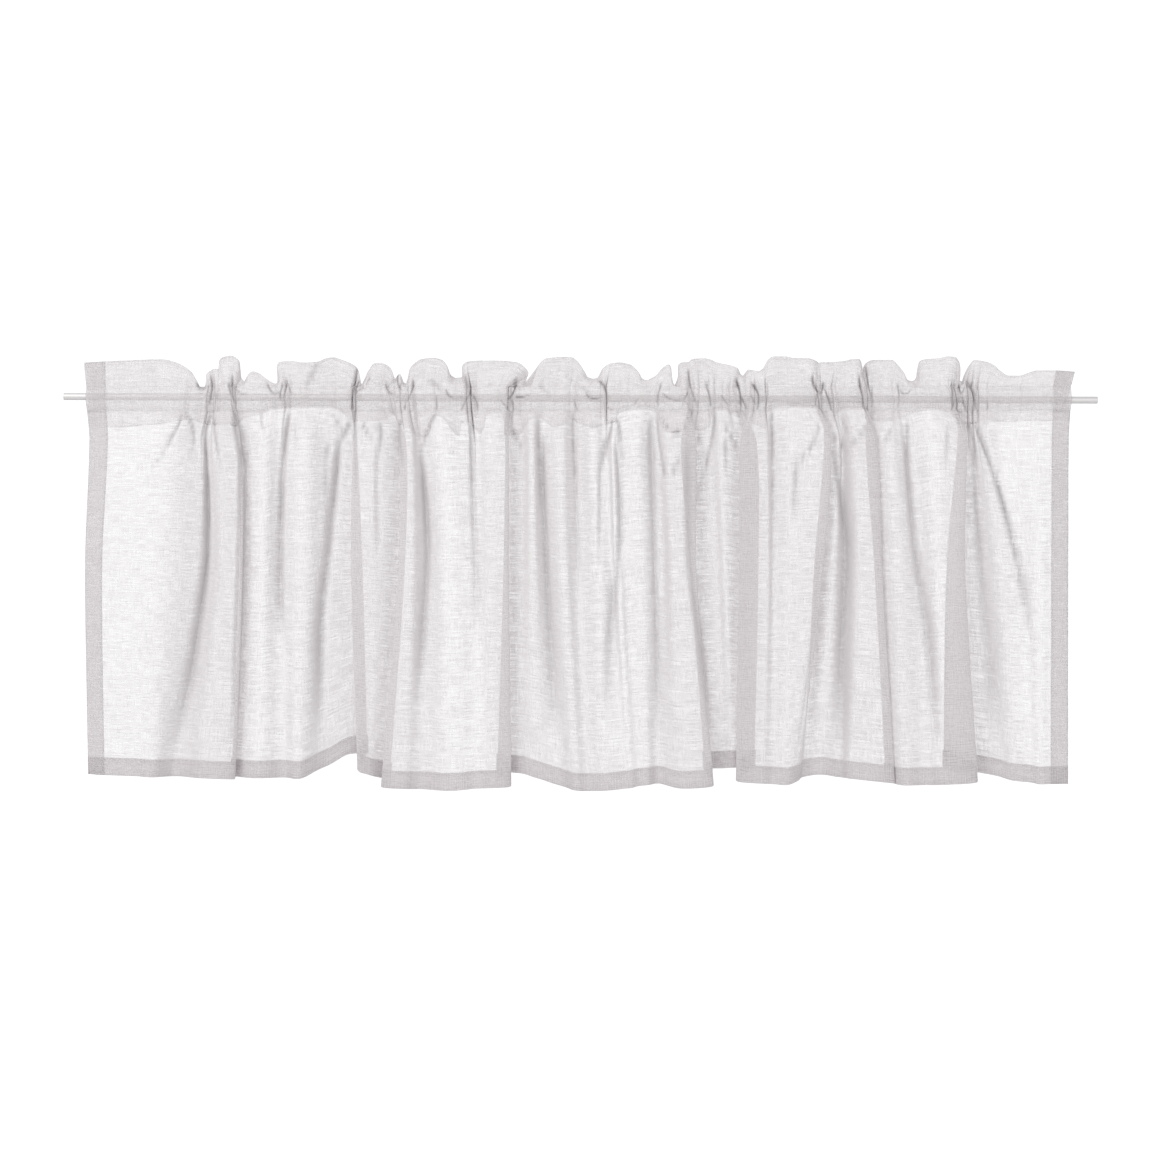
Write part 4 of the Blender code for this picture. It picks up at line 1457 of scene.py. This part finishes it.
class ShaderSheet:
    """The nodes of a new material or world, and the one method that adds them."""

    def __init__(self, owner: bpy.types.Material | bpy.types.World) -> None:
        """Start without nodes.

        Args:
            owner: The material or world that the nodes belong to.
        """
        owner.use_nodes = True
        self.owner = owner
        self.tree = owner.node_tree
        self.tree.nodes.clear()

    def node(
        self,
        kind: str,
        settings: dict[str, str],
        *values: Socket | float | Sequence[float],
        output: int = 0,
        **named: Socket | float | Sequence[float],
    ) -> Socket:
        """Add a node.

        Args:
            kind: The node's type.
            settings: Properties to set first.
            values: Values or links for its inputs, in order.
            output: Which of its outputs to return.
            named: Values or links for inputs by name, with _ for a space.

        Returns:
            The chosen output.
        """
        made = self.tree.nodes.new(kind)
        for key, value in settings.items():
            setattr(made, key, value)
        pairs = list(zip(made.inputs, values))
        pairs += [(made.inputs[key.replace("_", " ")], value) for key, value in named.items()]
        for socket, value in pairs:
            if isinstance(value, Socket):
                self.tree.links.new(value.link, socket)
            else:
                socket.default_value = value
        return Socket(self, made.outputs[output] if made.outputs else None)

    def blend(self, share: Socket, first: Socket | Sequence[float], second: Sequence[float]) -> Socket:
        """Blend two colours through a Mix node.

        Args:
            share: 0 for the first colour and 1 for the second.
            first: A colour, or a link to one.
            second: A colour.

        Returns:
            The blended colour.
        """
        made = self.node("ShaderNodeMix", {"data_type": "RGBA"}, share, output=2).link.node
        if isinstance(first, Socket):
            self.tree.links.new(first.link, made.inputs[6])
        else:
            made.inputs[6].default_value = first
        made.inputs[7].default_value = second
        return Socket(self, made.outputs[2])

    def finished(self, surface: Socket) -> bpy.types.Material:
        """The material, with this shader as its surface."""
        self.node("ShaderNodeOutputMaterial", {}, surface)
        return self.owner


class Streak(NamedTuple):
    """Noise drawn out over the cloth: its sizes in metres, its seed and how much of it shows."""

    across: float
    along: float
    seed: float
    share: float


@dataclass(frozen=True)
class LinenFinish:
    """Sheer off-white linen in an open plain weave, with thicker slubs along both threads."""

    thread: Colour = (0.82, 0.785, 0.797, 1.0)
    pale_thread: Colour = (0.88, 0.855, 0.864, 1.0)
    pitch: float = 0.62 * MM
    cover: float = 0.585
    slub_cover: float = 0.85
    weave_cover: float = 0.3
    passes_light: float = 0.36
    # Painted shade: the near-black colour blended into the linen where the crease shade attribute is high,
    # and how far it goes.
    painted_shade_colour: Colour = (0.13, 0.115, 0.12, 1.0)
    painted_shade_strength: float = 0.85
    roughness: float = 0.88
    weft_slubs: Streak = Streak(15 * MM, 0.9 * MM, 4.1, 1.3)
    warp_slubs: Streak = Streak(0.9 * MM, 20 * MM, 9.3, 0.9)
    long_slubs: Streak = Streak(55 * MM, 1.7 * MM, 14.9, 0.7)
    clouds: Streak = Streak(26 * MM, 26 * MM, 21.7, 0.12)
    thread_wobble: float = 2.4
    thread_round: float = 0.7
    least_cover: float = 0.3
    most_cover: float = 0.9

    def streaks(self, sheet: ShaderSheet, pattern: Socket, streak: Streak) -> Socket:
        """Noise drawn out into streaks.

        Args:
            sheet: The material.
            pattern: The cut pattern's coordinates, in metres.
            streak: The streaks' sizes and seed.

        Returns:
            Values about 0.5.
        """
        shift, scale = (streak.seed, streak.seed, 0), (1 / streak.across, 1 / streak.along, 1)
        scaled = sheet.node("ShaderNodeMapping", {}, pattern, Location=shift, Scale=scale)
        return sheet.node(
            "ShaderNodeTexNoise", {"noise_dimensions": "2D"}, scaled, Scale=1.0, Detail=2.0, Roughness=0.55
        )

    def threads(self, sheet: ShaderSheet, place: Socket, wobble: Socket) -> Socket:
        """The round profile of threads side by side, from 0 between them to 1 on top."""
        wave = (place * (2 * math.pi / self.pitch) + wobble * self.thread_wobble).math("SINE")
        return (wave * 0.5 + 0.5).math("POWER", self.thread_round)

    def build(self) -> bpy.types.Material:
        """Make the material.

        Returns:
            The linen.
        """
        sheet = ShaderSheet(bpy.data.materials.new("sheer slub linen"))
        pattern = sheet.node("ShaderNodeUVMap", {"uv_map": "cut pattern"})
        split = sheet.node("ShaderNodeSeparateXYZ", {}, pattern)
        along = Socket(sheet, split.link.node.outputs[1])
        weft_slub = self.streaks(sheet, pattern, self.weft_slubs)
        warp_slub = self.streaks(sheet, pattern, self.warp_slubs)
        long_weft = self.streaks(sheet, pattern, self.long_slubs)
        cloud = self.streaks(sheet, pattern, self.clouds)
        warp = self.threads(sheet, split, weft_slub)
        weft = self.threads(sheet, along, warp_slub)
        weave = warp.math("MAXIMUM", weft)
        short_slubs = (weft_slub - 0.5) * self.weft_slubs.share + (warp_slub - 0.5) * self.warp_slubs.share
        slubs = short_slubs + (long_weft - 0.5) * self.long_slubs.share
        woven = slubs * self.slub_cover + (weave - 0.75) * self.weave_cover
        cover = woven + (cloud - 0.5) * self.clouds.share + self.cover
        pale = ((cloud - 0.5) * 0.5 - slubs * 0.35 + 0.45).clamped()
        shade = sheet.node("ShaderNodeAttribute", {"attribute_name": "crease shade"}, output=2)
        colour = sheet.blend(pale, self.thread, self.pale_thread)
        # Painted shade: the linen is darkened towards that colour in creases, pleats, tucks and the troughs
        # of pinched creases; the translucent part takes the same darkened colour.
        colour = sheet.blend((shade * self.painted_shade_strength).clamped(), colour, self.painted_shade_colour)
        relief = weave * 0.5 + slubs
        bump = sheet.node("ShaderNodeBump", {}, Strength=0.2, Distance=0.35 * MM, Height=relief)
        steep = sheet.node("ShaderNodeAttribute", {"attribute_name": "thread cover"}, output=2)
        alpha = 1 - (1 - cover.clamped(self.least_cover, self.most_cover)).math("POWER", steep)
        surface = sheet.node(
            "ShaderNodeBsdfPrincipled", {}, Base_Color=colour, Roughness=self.roughness, Normal=bump
        )
        through = sheet.node("ShaderNodeBsdfTranslucent", {}, Color=colour, Normal=bump)
        cloth = sheet.node("ShaderNodeMixShader", {}, self.passes_light, surface, through)
        clear = sheet.node("ShaderNodeBsdfTransparent", {})
        whole = sheet.node("ShaderNodeMixShader", {}, alpha, clear, cloth)
        return sheet.finished(whole)


@dataclass(frozen=True)
class ThreadFinish:
    """Plain off-white sewing thread."""

    colour: Colour = (0.84, 0.82, 0.82, 1.0)
    roughness: float = 0.8

    def build(self) -> bpy.types.Material:
        """Make the material.

        Returns:
            The finish.
        """
        sheet = ShaderSheet(bpy.data.materials.new("sewing thread"))
        surface = sheet.node("ShaderNodeBsdfPrincipled", {}, Base_Color=self.colour, Roughness=self.roughness)
        return sheet.finished(surface)


@dataclass(frozen=True)
class SteelFinish:
    """Pale satin metal, faintly brushed along its length."""

    colour: Colour = (0.80, 0.785, 0.785, 1.0)
    roughness: float = 0.5
    uneven: float = 0.16
    metallic: float = 0.3

    def build(self) -> bpy.types.Material:
        """Make the material.

        Returns:
            The finish.
        """
        sheet = ShaderSheet(bpy.data.materials.new("pale satin steel"))
        place = sheet.node("ShaderNodeTexCoord", {}, output=3)
        drawn = sheet.node("ShaderNodeMapping", {}, place, Scale=(30.0, 2500.0, 2500.0))
        lines = sheet.node("ShaderNodeTexNoise", {}, drawn, Scale=1.0, Detail=3.0)
        rough_here = lines * self.uneven + (self.roughness - self.uneven / 2)
        bump = sheet.node("ShaderNodeBump", {}, Strength=0.12, Distance=0.05 * MM, Height=lines)
        surface = sheet.node(
            "ShaderNodeBsdfPrincipled",
            {},
            Base_Color=self.colour,
            Metallic=self.metallic,
            Roughness=rough_here,
            Normal=bump,
        )
        return sheet.finished(surface)


@dataclass
class CurtainRod:
    """The slim rod: a drawn tube with cut, slightly eased ends."""

    length: float = 1240 * MM
    radius: float = 4.25 * MM
    wall: float = 0.9 * MM
    bore_depth: float = 40 * MM
    sides: int = 48
    eased: float = 0.3 * MM

    def build(self) -> bpy.types.Object:
        """Model the tube with its open ends.

        Returns:
            The rod as a new object.
        """
        bpy.ops.object.select_all(action="DESELECT")
        bpy.ops.mesh.primitive_cylinder_add(
            vertices=self.sides, radius=self.radius, depth=self.length, rotation=(0, math.pi / 2, 0)
        )
        rod = bpy.context.active_object
        rod.name = rod.data.name = "curtain_rod"
        bpy.ops.object.transform_apply(location=True, rotation=True, scale=True)
        bpy.ops.object.mode_set(mode="EDIT")
        bpy.ops.mesh.select_mode(type="FACE")
        for end in (-1, 1):
            self.select_end(rod, end)
            bpy.ops.mesh.inset(thickness=self.wall, depth=0)
            bpy.ops.mesh.extrude_region_move(TRANSFORM_OT_translate={"value": (-end * self.bore_depth, 0, 0)})
        bpy.ops.object.mode_set(mode="OBJECT")
        ease = rod.modifiers.new("eased rims", "BEVEL")
        ease.width = self.eased
        ease.segments = 2
        ease.limit_method = "ANGLE"
        bpy.ops.object.modifier_apply(modifier=ease.name)
        bpy.ops.object.shade_smooth_by_angle(angle=math.radians(35))
        self.dress(rod)
        return rod

    @staticmethod
    def dress(rod: bpy.types.Object) -> None:
        """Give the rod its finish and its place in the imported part.

        Args:
            rod: The finished tube.
        """
        rod.data.materials.append(SteelFinish().build())
        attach(rod, "root")
        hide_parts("rod")

    def select_end(self, rod: bpy.types.Object, end: int) -> None:
        """Select only the outermost cap at one end, by its place.

        Args:
            rod: The rod, in edit mode.
            end: -1 for the left end and 1 for the right.
        """
        bpy.ops.mesh.select_all(action="DESELECT")
        bpy.ops.object.mode_set(mode="OBJECT")
        for face in rod.data.polygons:
            near = abs(face.center.x - end * self.length / 2) < 0.1 * MM
            face.select = near and abs(face.normal.x) > 0.9
        bpy.ops.object.mode_set(mode="EDIT")


@dataclass
class Studio:
    """A pale floor, a white world, soft lamps and the camera that stands where the photograph's did."""

    distance: float = 2.4
    sensor: float = 36 * MM
    centre_height: float = -218 * MM
    roll: float = math.radians(-0.2)
    floor_height: float = -1.3
    floor_size: float = 3.4
    backdrop: float = 1.1
    sky: float = 0.48

    def build(self) -> None:
        """Set the floor, the lamps, the world and the camera."""
        self.add_floor()
        self.add_world()
        self.add_lamp("key", (-1.5, -1.9, 1.1), 1.6, 33.0)
        self.add_lamp("fill", (1.9, -1.6, 0.2), 1.8, 13.0)
        self.add_lamp("back", (0.3, 2.0, 0.4), 2.4, 15.0)
        self.add_camera()
        bpy.context.scene.view_settings.view_transform = "Standard"

    def add_floor(self) -> None:
        """Add the plain pale floor well below the valance."""
        bpy.ops.object.select_all(action="DESELECT")
        bpy.ops.mesh.primitive_plane_add(size=self.floor_size, location=(0, -0.7, self.floor_height))
        floor = bpy.context.active_object
        floor.name = "floor"
        sheet = ShaderSheet(bpy.data.materials.new("pale floor"))
        surface = sheet.node("ShaderNodeBsdfPrincipled", {}, Base_Color=(0.9, 0.9, 0.9, 1), Roughness=0.9)
        floor.data.materials.append(sheet.finished(surface))

    def add_world(self) -> None:
        """Make the world plain white, dimmer as a light than as a backdrop."""
        world = bpy.data.worlds.new("white studio")
        bpy.context.scene.world = world
        sheet = ShaderSheet(world)
        white: Colour = (1.0, 1.0, 1.0, 1.0)
        camera_ray = sheet.node("ShaderNodeLightPath", {})
        lights = sheet.node("ShaderNodeBackground", {}, Color=white, Strength=self.sky)
        seen = sheet.node("ShaderNodeBackground", {}, Color=white, Strength=self.backdrop)
        choice = sheet.node("ShaderNodeMixShader", {}, camera_ray, lights, seen)
        sheet.node("ShaderNodeOutputWorld", {}, choice)

    def add_lamp(self, name: str, place: tuple[float, float, float], size: float, power: float) -> None:
        """Add a soft square lamp that faces the valance.

        Args:
            name: The lamp's name.
            place: Where it hangs, in metres.
            size: The length of its sides, in metres.
            power: Its power in watts.
        """
        lamp = bpy.data.lights.new(name, "AREA")
        lamp.size, lamp.energy = size, power
        holder = bpy.data.objects.new(name, lamp)
        holder.location = place
        aim = Vector((0, 0, self.centre_height)) - Vector(place)
        holder.rotation_euler = aim.to_track_quat("-Z", "Y").to_euler()
        bpy.context.scene.collection.objects.link(holder)

    def add_camera(self) -> None:
        """Add the camera, level and square to the rod but for a slight roll."""
        camera = bpy.data.cameras.new("camera")
        camera.sensor_width = self.sensor / MM
        camera.lens = self.distance * camera.sensor_width / (PHOTO_PIXELS * MM_PER_PIXEL * MM)
        holder = bpy.data.objects.new("camera", camera)
        holder.location = (0, -self.distance, self.centre_height)
        holder.rotation_euler = (math.pi / 2, self.roll, 0)
        bpy.context.scene.collection.objects.link(holder)
        bpy.context.scene.camera = holder


def main() -> None:
    """Load the frame, build the rod, the cloth and the studio, and report each piece."""
    logging.basicConfig(level=logging.INFO, format="%(name)s: %(message)s")
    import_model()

    rod = CurtainRod().build()
    maker = GatheredCloth()
    cloth = maker.build()
    stitches = Sewing(maker.seams).build()
    for piece in (rod, cloth, stitches):
        LOG.info("%s: %d faces", piece.name, len(piece.data.polygons))
    LOG.info("the linen was cut to %.3f by %.3f m", *maker.cut_size())

    Studio().build()


if __name__ == "__main__":
    main()
